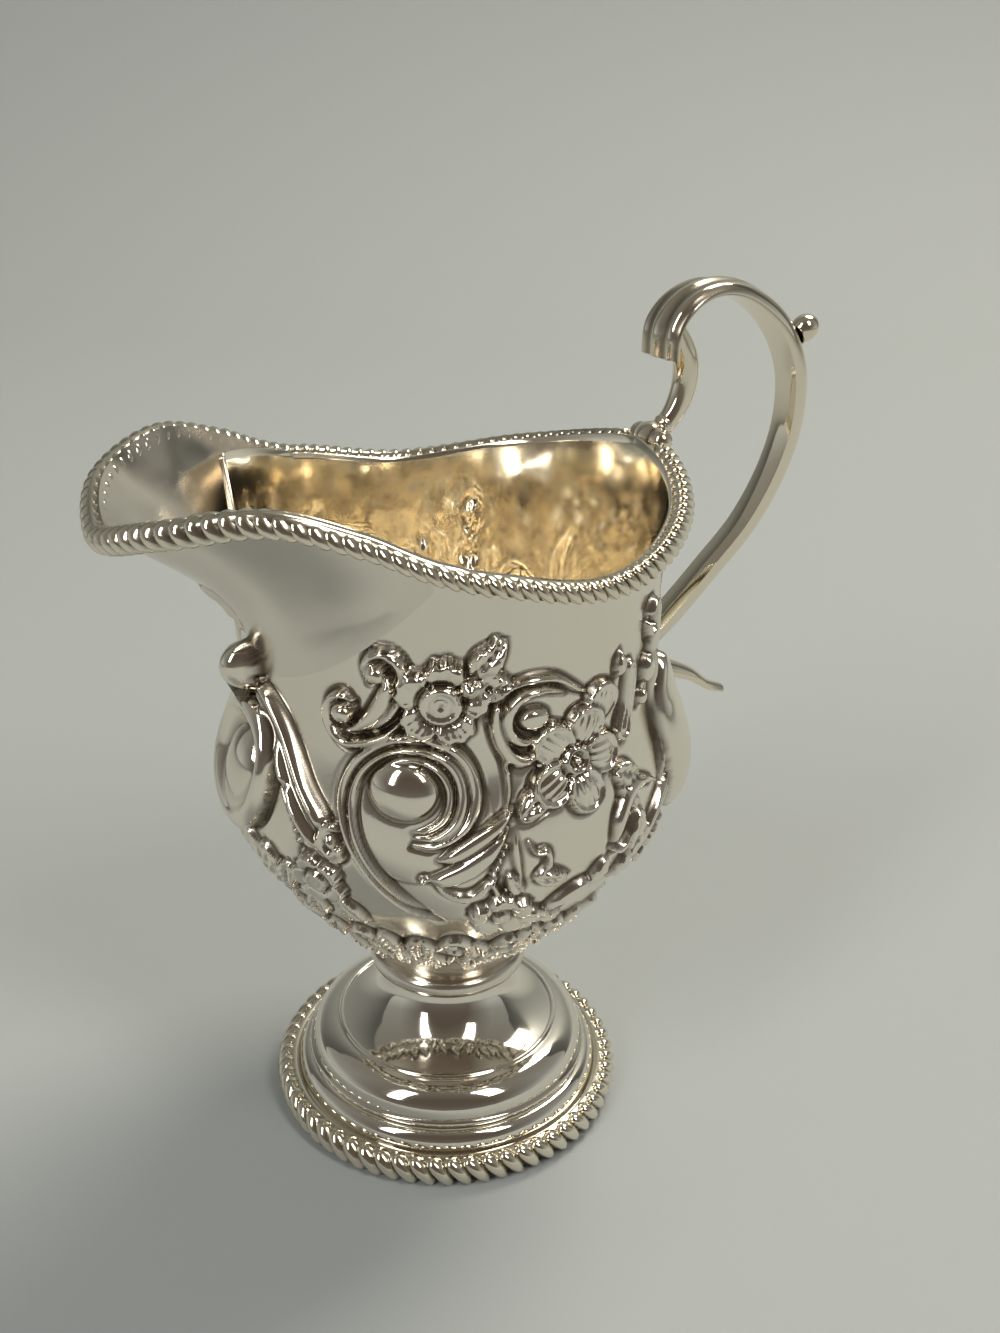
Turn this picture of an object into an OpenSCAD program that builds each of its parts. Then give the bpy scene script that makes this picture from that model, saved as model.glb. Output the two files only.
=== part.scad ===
// Silver cream jug on a round pedestal foot.
// Origin: centre of the foot on the table. +Z is up, the lip points to -X and the handle to +X.

/* [Bowl] */
// Radius of the bowl where it sits in the collar
bowl_base_r = 11.7; // [9:0.1:13]
// Height of the bowl's seat above the table
bowl_base_z = 27.5; // [24:0.5:32]
// Depth of the rounded bottom below the seat
bowl_drop = 2; // [1:0.1:2.4]
// Radius of the belly, over the mean of the chased ornament
belly_r = 34.8; // [32:0.1:37]
// Height of the widest part of the belly
belly_z = 64; // [58:0.5:68]
// Radius of the neck at its waist
neck_r = 31.2; // [29:0.1:32]
// Height of the waist of the neck
neck_z = 86; // [82:0.5:90]
// How far the neck flares out from its waist to the height of the handle
neck_flare = 1.9; // [0.5:0.1:3]
// Thickness of the silver of the bowl and neck
wall_t = 0.9; // [0.6:0.1:1.4]
// Height of the chased forms over the ground between them
relief_h = 1.9; // [0.6:0.1:2.4]
// Depth of that ground under the belly's mean face
ground_depth = 0.8; // [0:0.1:1]

/* [Mouth] */
// Height of the mouth at the handle
mouth_back_z = 109.5; // [107:0.5:112]
// Height of the dip at each side of the mouth
mouth_side_z = 101.3; // [98:0.1:104]
// Height of the neck's cut edge inside the lip
neck_front_z = 111; // [108:0.2:112]
// Height of the bottom of the notch that lets the cream into the lip
notch_z = 92; // [90:0.5:98]
// Half of the angle that the notch takes out of the neck
notch_half_angle = 20; // [18:1:36]

/* [Lip] */
// Reach of the lip's border from the middle of the jug
lip_reach = 51.3; // [48:0.1:54]
// Height of the lip's border at its two crests
lip_crest_z = 112.8; // [111:0.1:115]
// Height where the lip leaves the neck, at the front
lip_foot_z = 85; // [82:0.5:90]
// Thickness of the lip's sheet
lip_t = 0.8; // [0.6:0.1:1.2]
// Thickness of the lip's feathered lower edge
lip_feather_t = 0.3; // [0.2:0.05:0.5]
// Slope of the lip's sheet at its tip
lip_tip_slope = 42; // [30:1:55]

/* [Gadrooned borders] */
// Height of the wire round the mouth
rim_wire_h = 3.5; // [2.8:0.1:4]
// Thickness of the wire round the mouth
rim_wire_t = 2.8; // [2:0.1:3.2]
// Number of lobes round the mouth
rim_lobes = 112; // [80:1:120]
// Half of the angle of the wire's break at the handle
rim_break_half_angle = 8; // [7.8:0.1:10]
// Height of the wire round the foot
foot_wire_h = 5; // [4:0.1:5.4]
// Thickness of the wire round the foot
foot_wire_t = 3.8; // [3:0.1:4.4]
// Number of lobes round the foot
foot_lobes = 60; // [40:1:64]
// Depth of the grooves between lobes
lobe_groove = 0.5; // [0.2:0.05:0.7]
// Turn of a lobe's slant across the wire, in degrees of one lobe's pitch
lobe_slant = 200; // [0:10:300]

/* [Foot and collar] */
// Outer radius of the foot over its border
foot_r = 29.5; // [28:0.1:31]
// Radius of the foot's stem under the collar
stem_r = 8.5; // [7:0.1:9]
// Radius of the crease where the stem ends
crease_r = 18.2; // [16:0.1:19.5]
// Height of the crease
crease_z = 13.3; // [12:0.1:15]
// Radius of the foot's domed shoulder
shoulder_r = 23.1; // [22:0.1:23.8]
// Height of the foot's shoulder
shoulder_z = 8.8; // [8:0.1:10]
// Width of the step under the shoulder
step_w = 1.1; // [0.6:0.1:1.2]
// Height of the flange's top edge
flange_z = 4.4; // [4:0.1:5]
// Thickness of the silver of the foot
foot_t = 1.1; // [0.8:0.1:1.4]
// Width of the ring that the foot stands on
flange_t = 1.65; // [1.2:0.05:2]
// Outer radius of the collar between the foot and the bowl
collar_r = 13; // [12.7:0.1:14]
// Height of the foot's top, where the collar sits
foot_top_z = 24; // [22:0.1:25]

/* [Handle] */
// Reach of the handle's back from the neck
handle_reach = 35.4; // [32:0.2:38]
// Height of the top of the handle
handle_top_z = 133.6; // [130:0.2:136]
// Height of the middle of the handle's lower pad
pad_z = 73.5; // [71:0.5:75]
// Width of the handle at its fluted curl
curl_w = 9.5; // [8:0.1:10.5]
// Thickness of the handle at its back
back_t = 3.9; // [3.4:0.1:4.4]
// Depth of the flutes on the curl
flute_depth = 0.45; // [0.1:0.05:0.6]
// Number of flutes across the curl
flutes = 4; // [3:1:5]
// Thickness of the hook between the curl and the mouth
hook_t = 4; // [3.2:0.1:4.4]
// Radius of the middle lobe of the socket on the mouth
socket_r = 2.6; // [2.3:0.1:2.8]
// Width of the socket along the mouth
socket_w = 9; // [7.6:0.1:9.2]
// Radius of the lower pad
pad_r = 5.6; // [5:0.1:6]
// How far the pad's face stands out past the belly
pad_stand = 1.4; // [1:0.1:2.2]
// Radius of the bud where the thumb rests
bud_r = 2.15; // [1.8:0.05:2.4]
// Reach of the tail from the pad
tail_reach = 17.5; // [15:0.5:20]
// Drop of the tail from its root to its tip
tail_drop = 6.8; // [5:0.2:9]
// Width of the tail at its root
tail_w = 4.6; // [3.8:0.1:5]

/* [Hidden] */
// Joint left for the solder between two pieces
solder_gap = 0.06;
// Extra length of cutting shapes
overrun = 2;
round_fn = 180;
profile_steps = 14;
bottom_steps = 5;
silver = "silver";

// Straight and curved interpolation

function mix(a, b, share) = a + (b - a) * share;
function bezier(p, s) =
    p[0] * pow(1 - s, 3) + p[1] * 3 * s * pow(1 - s, 2) + p[2] * 3 * s * s * (1 - s) + p[3] * pow(s, 3);
function bezier_slope(p, s) =
    (p[1] - p[0]) * 3 * pow(1 - s, 2) + (p[2] - p[1]) * 6 * s * (1 - s) + (p[3] - p[2]) * 3 * s * s;
function unit(v) = v / norm(v);
// Left-hand normal of a direction in a plane
function left_of(v) = [-unit(v)[1], unit(v)[0]];
// Item of a list, with the first or last one standing in past its ends
function clamped(v, i) = v[min(max(i, 0), len(v) - 1)];
// Smooth curve through the points of a list, at u from 0 to the last index
function through(v, u) =
    let (
        i = min(floor(u), len(v) - 2),
        s = u - i,
        a = clamped(v, i - 1),
        b = v[i],
        c = v[i + 1],
        d = clamped(v, i + 2)
    )
    b + (c - a) * (s / 2)
    + (a * 2 - b * 5 + c * 4 - d) * (s * s / 2)
    + (b * 3 - a - c * 3 + d) * (s * s * s / 2);
function through_slope(v, u) = through(v, min(u + 0.01, len(v) - 1)) - through(v, max(u - 0.01, 0));

// Triangles that join rings of points, closed at both ends
module skin(rings) {
    n = len(rings);
    m = len(rings[0]);
    sides = [
        for (i = [0:n - 2], j = [0:m - 1], half = [0, 1])
            let (k = (j + 1) % m)
            half == 0
            ? [i * m + j, (i + 1) * m + j, (i + 1) * m + k]
            : [i * m + j, (i + 1) * m + k, i * m + k]
    ];
    first_end = [for (j = [1:m - 2]) [0, j, j + 1]];
    last_end = [for (j = [1:m - 2]) [(n - 1) * m, (n - 1) * m + j + 1, (n - 1) * m + j]];
    polyhedron(points = [for (ring = rings) each ring], faces = concat(sides, first_end, last_end));
}

// Bowl and neck

// Where the outline's curves are drawn to, as shares of their spread and rise
bowl_shares = [0.12, 0.17, 0.57];
waist_shares = [0.36, 0.45];
bowl_line = [
    [bowl_base_r, bowl_base_z],
    [mix(bowl_base_r, belly_r, bowl_shares[0]), mix(bowl_base_z, belly_z, bowl_shares[1])],
    [belly_r, mix(bowl_base_z, belly_z, bowl_shares[2])],
    [belly_r, belly_z],
];
waist_line = [
    [belly_r, belly_z],
    [belly_r, mix(belly_z, neck_z, waist_shares[0])],
    [neck_r, mix(belly_z, neck_z, waist_shares[1])],
    [neck_r, neck_z],
];
// The neck flares as a parabola above its waist, and leans out by its slope
neck_h = mouth_back_z - neck_z;
function neck_radius(z) = neck_r + neck_flare * pow((z - neck_z) / neck_h, 2);
function neck_lean(z) = atan(2 * neck_flare * (z - neck_z) / pow(neck_h, 2));
// Points of a curve from step first on, moved to its left by inset
function inset_line(line, inset, first) = [
    for (i = [first:profile_steps])
        let (s = i / profile_steps)
        bezier(line, s) + left_of(bezier_slope(line, s)) * inset
];
// Depth of the chased ground at a height: it deepens above the seat and runs out at the neck's waist
ground_rise_share = 0.3;
ground_fade_share = 0.45;
function ease(share) = (1 - cos(180 * min(1, max(0, share)))) / 2;
function ground(z) =
    ground_depth
    * ease((z - bowl_base_z) / (belly_z - bowl_base_z) / ground_rise_share)
    * ease((neck_z - z) / (neck_z - belly_z) / ground_fade_share);
function chased_line(line, inset, first) = [
    for (i = [first:profile_steps])
        let (s = i / profile_steps, p = bezier(line, s))
        p + left_of(bezier_slope(line, s)) * (inset + ground(p[1]))
];
// Outline of the bowl's outer face, moved inwards along its normal by inset, from the axis up
function bowl_outline(inset, top_z) = concat(
    [
        for (i = [0:bottom_steps - 1])
            let (a = 90 * i / bottom_steps)
            [(bowl_base_r - inset) * sin(a), bowl_base_z + inset - bowl_drop * cos(a)]
    ],
    chased_line(bowl_line, inset, 0),
    chased_line(waist_line, inset, 1),
    [for (i = [1:profile_steps])
        let (z = mix(neck_z, top_z, i / profile_steps))
        [neck_radius(z) - inset, z]]
);
module bowl_solid(inset, top_z) {
    rotate_extrude($fn = round_fn)
        polygon(concat(bowl_outline(inset, top_z), [[0, top_z]]));
}

// Line of the mouth: angle from the handle, then height as a share between the dip and the two crests,
// and reach as a share of the way from the neck to the tip of the lip
mouth_angles = [0, 40, 78, 114, 122, 135, 150, 165, 180];
mouth_rise_shares = [0.7, 0.31, 0, 0.31, 0.46, 0.77, 1.03, 0.8, 0.47];
mouth_reach_shares = [0, 0, 0, 0, 0.045, 0.15, 0.46, 0.86, 1];
mouth_rise = lip_crest_z - mouth_side_z;
function mouth_place(angle) =
    let (a = angle > 180 ? 360 - angle : angle)
    lookup(a, [for (i = [0:len(mouth_angles) - 1]) [mouth_angles[i], i]]);
function smooth_at(shares, place) = through([for (v = shares) [v, 0]], place)[0];
function mouth_z(angle) = mouth_side_z + mouth_rise * smooth_at(mouth_rise_shares, mouth_place(angle));
function mouth_out(angle) = max(0, smooth_at(mouth_reach_shares, mouth_place(angle)));
function wire_r(angle) =
    mix(neck_radius(mouth_z(angle)) + solder_gap + rim_wire_t / 2, lip_reach, mouth_out(angle));
// Slope of the sheet at the mouth: the neck's own at the sides, and flatter at the tip
function edge_slope(angle) = mix(90 - neck_lean(mouth_z(angle)), lip_tip_slope, mouth_out(angle));
function edge_along(angle) = [cos(edge_slope(angle)), sin(edge_slope(angle))];
function edge_inward(angle) = left_of(edge_along(angle));
function around(rz, angle) = [rz[0] * cos(angle), rz[0] * sin(angle), rz[1]];

// Rise of the neck's edge behind the wire, above the wire's middle
neck_edge_share = 0.3;
neck_edge_rise = rim_wire_h * neck_edge_share;
// Side view of what the neck keeps under the mouth's line
neck_cut_angles = [for (a = [0:6:mouth_angles[3]]) a];
module neck_cutter() {
    edge = [
        for (a = neck_cut_angles)
            [neck_radius(mouth_z(a)) * cos(a), mouth_z(a) + neck_edge_rise]
    ];
    reach = belly_r + relief_h + overrun;
    notch_x = -neck_r * cos(notch_half_angle);
    top = lip_crest_z + overrun;
    rotate([90, 0, 0])
        linear_extrude(height = reach * 2, center = true)
            polygon(concat(
                [[reach, top], [reach, edge[0][1]]],
                edge,
                [[notch_x, neck_front_z], [notch_x - wall_t, notch_z], [-reach, notch_z], [-reach, top]]
            ));
}

// Chased forms

// The bowl's face at a height: its radius, and the way out of it as radius and height
face_points = bowl_outline(0, lip_crest_z);
face_table = [for (i = [bottom_steps:len(face_points) - 1]) [face_points[i][1], face_points[i][0]]];
function face_r(z) = lookup(z, face_table);
function face_out(z) = -left_of([face_r(z + wall_t) - face_r(z - wall_t), 2 * wall_t]);
function on_bowl(angle, z, out) = around([face_r(z), z] + face_out(z) * out, angle);
// The same place, moved by x round the bowl and y up its face
function beside(angle, z, x, y, out) =
    on_bowl(angle + x / face_r(z) * 180 / PI, z + y * face_out(z)[0], out);
function chased_z(share) = mix(bowl_base_z, neck_z, share);
form_root = -wall_t / 2;

// Round and oval forms: angle from the handle, height up the bowl, width and height as shares of the
// belly's radius, rise as a share of the relief, and the number of petals
knob_shares = [
    [231.6, 0.819, 0.34, 0.28, 1.1, 0],
    [239.7, 1.02, 0.37, 0.37, 0.95, 5],
    [274.6, 0.839, 0.43, 0.43, 1, 5],
    [255.2, 0.446, 0.28, 0.28, 0.85, 5],
    [208.5, 0.518, 0.27, 0.27, 0.8, 5],
    [315, 0.48, 0.29, 0.29, 0.85, 5],
    [320, 0.74, 0.33, 0.73, 2.1, 0],
    [190, 0.34, 0.23, 0.24, 0.7, 0],
    [209, 0.33, 0.23, 0.24, 0.7, 0],
    [229, 0.32, 0.23, 0.24, 0.7, 0],
    [249, 0.28, 0.23, 0.24, 0.7, 0],
    [269, 0.33, 0.23, 0.24, 0.7, 0],
    [289, 0.34, 0.23, 0.24, 0.7, 0],
    [309, 0.31, 0.23, 0.24, 0.7, 0],
    [329, 0.33, 0.23, 0.24, 0.7, 0],
];
front_knob_shares = [[180, 0.744, 0.49, 0.52, 2.1, 0], [180, 0.932, 0.15, 0.15, 2.2, 0]];
petal_cut_share = 0.2;
petal_steps = 4;
plain_sides = 12;
// Rings of a form, from its root in the wall to its crown: reach, and rise or 0 for the root
knob_reach_shares = [0.4, 1, 0.9, 0.55];
knob_rise_shares = [0, 0, 0.75, 1];
module chased_knob(form) {
    z = chased_z(form[1]);
    sides = form[5] == 0 ? plain_sides : form[5] * petal_steps;
    rings = [
        for (k = [0:len(knob_reach_shares) - 1])
            [for (j = [0:sides - 1])
                let (
                    turn = 360 * j / sides,
                    reach = knob_reach_shares[k] * (1 - petal_cut_share * pow(sin(form[5] * turn / 2), 2)),
                    x = belly_r * form[2] / 2 * reach * cos(turn),
                    y = belly_r * form[3] / 2 * reach * sin(turn),
                    rise = relief_h * form[4] * knob_rise_shares[k],
                    out = rise == 0 ? form_root : rise
                )
                beside(form[0], z, x, y, out)]
    ];
    skin(rings);
}

// Scrolls and bands: angle, height up the bowl and width as a share of the belly's radius
scroll_shares = [
    [
        [245.7, 0.374, 0.04], [237.1, 0.432, 0.08], [229.7, 0.506, 0.1], [224.3, 0.579, 0.11],
        [220.3, 0.656, 0.12], [218.3, 0.726, 0.12], [218.5, 0.797, 0.12], [221.8, 0.856, 0.12],
        [227.4, 0.899, 0.12], [234.1, 0.911, 0.13], [240.1, 0.885, 0.16], [243.4, 0.832, 0.19],
        [243.7, 0.774, 0.19], [241.5, 0.723, 0.16], [237.6, 0.699, 0.1], [232.8, 0.689, 0.03],
    ],
    [
        [212.4, 0.99, 0.06], [212.8, 0.93, 0.07], [217, 0.915, 0.08], [222.2, 0.95, 0.09],
        [226.2, 1.003, 0.09], [228.2, 1.06, 0.07], [226.6, 1.12, 0.06], [223.6, 1.11, 0.05],
    ],
    [
        [184, 0.93, 0.07], [190, 0.895, 0.11], [196, 0.845, 0.14], [202, 0.765, 0.15], [208, 0.685, 0.16],
        [215, 0.61, 0.1],
    ],
    [
        [272, 1.015, 0.04], [265, 1.037, 0.07], [259.4, 1.029, 0.08], [255.6, 0.985, 0.09],
        [255.4, 0.925, 0.09], [259.6, 0.88, 0.08], [264.6, 0.885, 0.04],
    ],
    [[237.5, 0.6, 0.1], [242, 0.618, 0.18], [247, 0.65, 0.2], [252, 0.69, 0.14], [257, 0.745, 0.03]],
    [[238.4, 0.575, 0.03], [244.6, 0.525, 0.06], [251, 0.56, 0.05], [256, 0.5, 0.03]],
    [[267, 0.422, 0.04], [274, 0.475, 0.09], [282.4, 0.49, 0.03]],
    [[294, 0.71, 0.04], [289.5, 0.65, 0.08], [285, 0.575, 0.05], [281, 0.55, 0.03]],
    [[290.6, 1.055, 0.1], [293.4, 0.97, 0.09], [292.4, 0.86, 0.1]],
    [[305, 1.12, 0.08], [307.2, 1, 0.09], [310, 0.9, 0.06], [310.4, 0.79, 0.05], [308.8, 0.7, 0.03]],
    [[341, 1.1, 0.03], [336, 1.03, 0.06], [334.8, 0.9, 0.07], [336, 0.76, 0.06], [334, 0.64, 0.03]],
    [[330, 0.555, 0.03], [318, 0.63, 0.09], [305.5, 0.59, 0.08], [296, 0.425, 0.03]],
];
scroll_rise_share = 0.75;
scroll_section_shares = [[1, 0], [0.75, 0.75], [0, 1], [-0.75, 0.75], [-1, 0]];
module chased_scroll(route) {
    last = len(route) - 1;
    places = [for (p = route) [p[0], chased_z(p[1]), belly_r * p[2] / 2]];
    rings = [
        for (i = [0:last])
            let (
                p = places[i],
                slope = through_slope(places, i),
                across = left_of([slope[0] * PI / 180 * face_r(p[1]), slope[1] / face_out(p[1])[0]])
            )
            [for (q = scroll_section_shares)
                beside(
                    p[0], p[1],
                    across[0] * q[0] * p[2],
                    across[1] * q[0] * p[2],
                    q[1] == 0 ? form_root : relief_h * scroll_rise_share * q[1]
                )]
    ];
    skin(rings);
}

module chased_side() {
    for (form = knob_shares)
        chased_knob(form);
    for (route = scroll_shares)
        chased_scroll(route);
}

module body() {
    color(silver)
        difference() {
            union() {
                bowl_solid(0, lip_crest_z);
                for (form = front_knob_shares)
                    chased_knob(form);
                chased_side();
                mirror([0, 1, 0])
                    chased_side();
            }
            bowl_solid(wall_t, lip_crest_z + overrun);
            neck_cutter();
        }
}

// Lip

lip_start_angle = mouth_angles[4];
// Rise of the lip's edge behind the wire, pull of its curve, and length of its feathered edge
lip_edge_share = 0.2;
lip_pull_share = 0.42;
lip_feather_share = 0.2;
function lip_low_z(angle) =
    let (side = (180 - angle) / (180 - lip_start_angle))
    mix(lip_foot_z, mouth_z(lip_start_angle) - rim_wire_h, pow(side, 2));
function lip_line(angle) =
    let (
        low = [neck_radius(lip_low_z(angle)) + solder_gap, lip_low_z(angle)],
        wire = [wire_r(angle), mouth_z(angle)],
        high = wire + edge_inward(angle) * (rim_wire_t / 2 + solder_gap + lip_t)
            + edge_along(angle) * rim_wire_h * lip_edge_share,
        pull = norm(high - low) * lip_pull_share
    )
    [low, low + [0, pull], high - edge_along(angle) * pull, high];
// A point of the sheet's inner face, held clear of the neck that it laps
function lip_inside(angle, s) =
    let (p = bezier(lip_line(angle), s))
    [max(p[0], neck_radius(p[1]) + solder_gap), p[1]];
function lip_outside(angle, s) =
    lip_inside(angle, s) - left_of(bezier_slope(lip_line(angle), s))
    * mix(lip_feather_t, lip_t, min(1, s / lip_feather_share));
lip_side_steps = 12;
lip_angles = [
    for (i = [-lip_side_steps:lip_side_steps])
        180 + (180 - lip_start_angle) * i / lip_side_steps
];
lip_steps = 9;

module lip() {
    rings = [
        for (angle = lip_angles)
            let (a = angle > 180 ? 360 - angle : angle)
            concat(
                [for (i = [0:lip_steps]) around(lip_outside(a, i / lip_steps), angle)],
                [for (i = [lip_steps:-1:0]) around(lip_inside(a, i / lip_steps), angle)]
            )
    ];
    color(silver)
        skin(rings);
}

// Gadrooned wires

// Depth of the groove at a place along the wire, in lobes, and an angle round its section
function groove(lobe, turn) =
    let (wave = cos(lobe * 360 + lobe_slant * cos(turn)))
    lobe_groove * pow((1 - wave) / 2, 2) * max(0, sin(turn));
wire_turns = [-50, 10, 40, 65, 90, 115, 140, 170, 230];
lobe_steps = 4;

// Length along the mouth's line up to each of its angles
mouth_angle_step = 2;
mouth_points = [for (a = [0:mouth_angle_step:360]) around([wire_r(a), mouth_z(a)], a)];
mouth_lengths = [
    for (
        i = 0, s = 0;
        i < len(mouth_points);
        s = s + norm(clamped(mouth_points, i + 1) - mouth_points[i]), i = i + 1
    )
        [s, i * mouth_angle_step]
];
mouth_length = mouth_lengths[len(mouth_lengths) - 1][0];
function mouth_length_at(angle) = lookup(angle, [for (p = mouth_lengths) [p[1], p[0]]]);

module rim_border() {
    first = mouth_length_at(rim_break_half_angle);
    steps = round(rim_lobes) * lobe_steps;
    rings = [
        for (i = [0:steps])
            let (
                a = lookup(mix(first, mouth_length - first, i / steps), mouth_lengths),
                along = edge_along(a),
                outward = -edge_inward(a),
                middle = [wire_r(a), mouth_z(a)] - outward * rim_wire_t / 2
            )
            [for (turn = wire_turns)
                let (
                    cut = groove(i / lobe_steps, turn),
                    h = cos(turn) * (rim_wire_h / 2 - cut / 2),
                    t = max(0, sin(turn)) * (rim_wire_t - cut)
                )
                around(middle + along * h + outward * t, a)]
    ];
    color(silver)
        skin(rings);
}

module foot_border() {
    steps = round(foot_lobes) * lobe_steps;
    inner = foot_r - foot_wire_t;
    ring = [
        for (i = [0:steps - 1])
            [for (turn = wire_turns)
                let (
                    cut = groove(i / lobe_steps, turn),
                    h = cos(turn) * (foot_wire_h / 2 - cut / 2),
                    t = max(0, sin(turn)) * (foot_wire_t - cut)
                )
                around([inner + t, foot_wire_h / 2 + solder_gap + h], 360 * i / steps)]
    ];
    m = len(wire_turns);
    color(silver)
        polyhedron(
            points = [for (r = ring) each r],
            faces = [
                for (i = [0:steps - 1], j = [0:m - 1], half = [0, 1])
                    let (n = (i + 1) % steps, k = (j + 1) % m)
                    half == 0
                    ? [i * m + j, n * m + j, n * m + k]
                    : [i * m + j, n * m + k, i * m + k]
            ]
        );
}

// Foot and collar

flange_r = foot_r - foot_wire_t - solder_gap;
foot_bead = (shoulder_z - flange_z) / 3;
step_r = shoulder_r + step_w;
// Where the curves of stem, dome and step are drawn to, as shares of their spread and rise
stem_shares = [0.55, 0.45, 0.12];
dome_shares = [0.55, 0.6];
step_shares = [0.4, 0.9, 0.4];
stem_line = [
    [stem_r, foot_top_z],
    [stem_r, mix(foot_top_z, crease_z, stem_shares[0])],
    [mix(stem_r, crease_r, stem_shares[1]), mix(crease_z, foot_top_z, stem_shares[2])],
    [crease_r, crease_z],
];
dome_line = [
    [crease_r, crease_z],
    [mix(crease_r, shoulder_r, dome_shares[0]), crease_z],
    [shoulder_r, mix(shoulder_z, crease_z, dome_shares[1])],
    [shoulder_r, shoulder_z],
];
step_line = [
    [shoulder_r + step_w / 2, shoulder_z - foot_bead],
    [mix(step_r, flange_r, step_shares[0]), shoulder_z - foot_bead],
    [mix(step_r, flange_r, step_shares[1]), mix(flange_z, shoulder_z, step_shares[2])],
    [flange_r, flange_z],
];
// Outline of the foot from its top down to the flange, moved inwards by inset
function foot_outline(inset) = concat(
    inset_line(stem_line, -inset, 0),
    inset_line(dome_line, -inset, 1),
    inset_line(step_line, -inset, 0)
);

module foot() {
    inside = foot_outline(foot_t);
    inside_r = flange_r - flange_t;
    color(silver)
        rotate_extrude($fn = round_fn)
            polygon(concat(
                [[0, foot_top_z]],
                foot_outline(0),
                [[flange_r, 0], [inside_r, 0]],
                [for (i = [len(inside) - 1:-1:1]) [min(inside[i][0], inside_r), inside[i][1]]],
                [[0, foot_top_z - foot_t]]
            ));
}

collar_h = bowl_base_z - foot_top_z;
module collar() {
    edge_r = collar_h / 2;
    color(silver)
        difference() {
            rotate_extrude($fn = round_fn)
                polygon(concat(
                    [[0, foot_top_z + solder_gap]],
                    [for (a = [-90:15:90])
                        [
                            collar_r - edge_r + edge_r * cos(a),
                            foot_top_z + solder_gap + edge_r + edge_r * sin(a)
                        ]],
                    [[0, foot_top_z + solder_gap + collar_h]]
                ));
            translate([0, 0, -solder_gap])
                bowl_solid(-solder_gap, neck_z);
        }
}

// Handle

// Inner face of the handle from the curl's cut end over the top to the pad, as shares of its reach from
// the wall and of its rise from the pad. The wall's radius goes from the belly's up to the neck's
handle_line_shares = [
    [0.128, 0.814], [0.147, 0.89], [0.244, 0.946], [0.387, 0.966], [0.553, 0.938], [0.728, 0.855],
    [0.828, 0.738], [0.832, 0.603], [0.754, 0.469], [0.604, 0.334], [0.395, 0.217], [0.21, 0.118],
    [0.105, 0.069],
];
handle_width_shares = [1, 0.98, 0.93, 0.84, 0.74, 0.65, 0.56, 0.53, 0.51, 0.5, 0.5, 0.52, 0.54];
handle_thick_shares = [0.45, 0.48, 0.5, 0.56, 0.7, 0.88, 1, 1, 0.98, 0.92, 0.88, 0.84, 0.8];
flute_fade_shares = [1, 1, 1, 0.8, 0.4, 0.1, 0, 0, 0, 0, 0, 0, 0];
// Place of the lower end on the pad, above the pad's middle, as a share of the pad's radius
handle_foot_share = 0.5;
pad_x = belly_r + pad_stand;
handle_line = concat(
    [
        for (p = handle_line_shares)
            [mix(belly_r, neck_r, p[1]) + handle_reach * p[0], mix(pad_z, handle_top_z, p[1])]
    ],
    [[pad_x + solder_gap, pad_z + pad_r * handle_foot_share]]
);
handle_steps = 4;
crown_steps = 16;

// A D-shaped section: flat inside, crowned outside, in the plane across the handle's line
function crown(middle, along, w, t, flute) = [
    for (j = [0:crown_steps])
        let (
            a = 180 * j / crown_steps,
            ridge = flute * flute_depth * (1 - cos(flutes * 2 * a)) / 2,
            p = middle + left_of(along) * (t - ridge) * sin(a)
        )
        [p[0], w / 2 * cos(a), p[1]]
];

module handle_scroll() {
    last = len(handle_line) - 1;
    rings = [
        for (i = [0:last * handle_steps])
            let (
                u = i / handle_steps,
                share_u = min(u, len(handle_width_shares) - 1),
                along = i == last * handle_steps ? [-1, 0] : through_slope(handle_line, u)
            )
            crown(
                through(handle_line, u),
                along,
                curl_w * smooth_at(handle_width_shares, share_u),
                back_t * smooth_at(handle_thick_shares, share_u),
                max(0, smooth_at(flute_fade_shares, share_u))
            )
    ];
    color(silver)
        skin(rings);
}

// Hook: a round rod that springs from the inside of the curl and bows out to the socket on the mouth.
// Its places are shares of the rise from socket to curl: out from the straight line, and up
hook_place = 1.2;
hook_gap = 0.2;
hook_side = left_of(through_slope(handle_line, hook_place));
hook_root = through(handle_line, hook_place) - hook_side * hook_gap;
socket_reach = 3.8;
socket_rise = 1.5;
hook_foot = [neck_radius(mouth_back_z) + socket_reach, mouth_back_z + socket_rise];
hook_bow_shares = [[0.1, 0.9], [0.19, 0.74], [0.24, 0.59], [0.246, 0.42], [0.205, 0.25], [0.12, 0.1]];
hook_thick_shares = [0.62, 0.72, 0.92, 1, 1, 0.94, 0.84, 0.74];
hook_line = concat(
    [hook_root],
    [for (p = hook_bow_shares)
        mix(hook_foot, hook_root, p[1]) + [(hook_root[1] - hook_foot[1]) * p[0], 0]],
    [hook_foot]
);
rod_steps = 12;
function rod_ring(middle, along, r) = [
    for (j = [0:rod_steps - 1])
        let (a = 360 * j / rod_steps, p = middle + left_of(along) * r * sin(a))
        [p[0], r * cos(a), p[1]]
];

module handle_hook() {
    last = len(hook_line) - 1;
    rings = [
        for (i = [0:last * handle_steps])
            let (
                u = i / handle_steps,
                along = i == 0 ? -hook_side : through_slope(hook_line, u)
            )
            rod_ring(
                through(hook_line, u),
                along,
                hook_t / 2 * smooth_at(hook_thick_shares, u)
            )
    ];
    color(silver)
        skin(rings);
}

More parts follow.
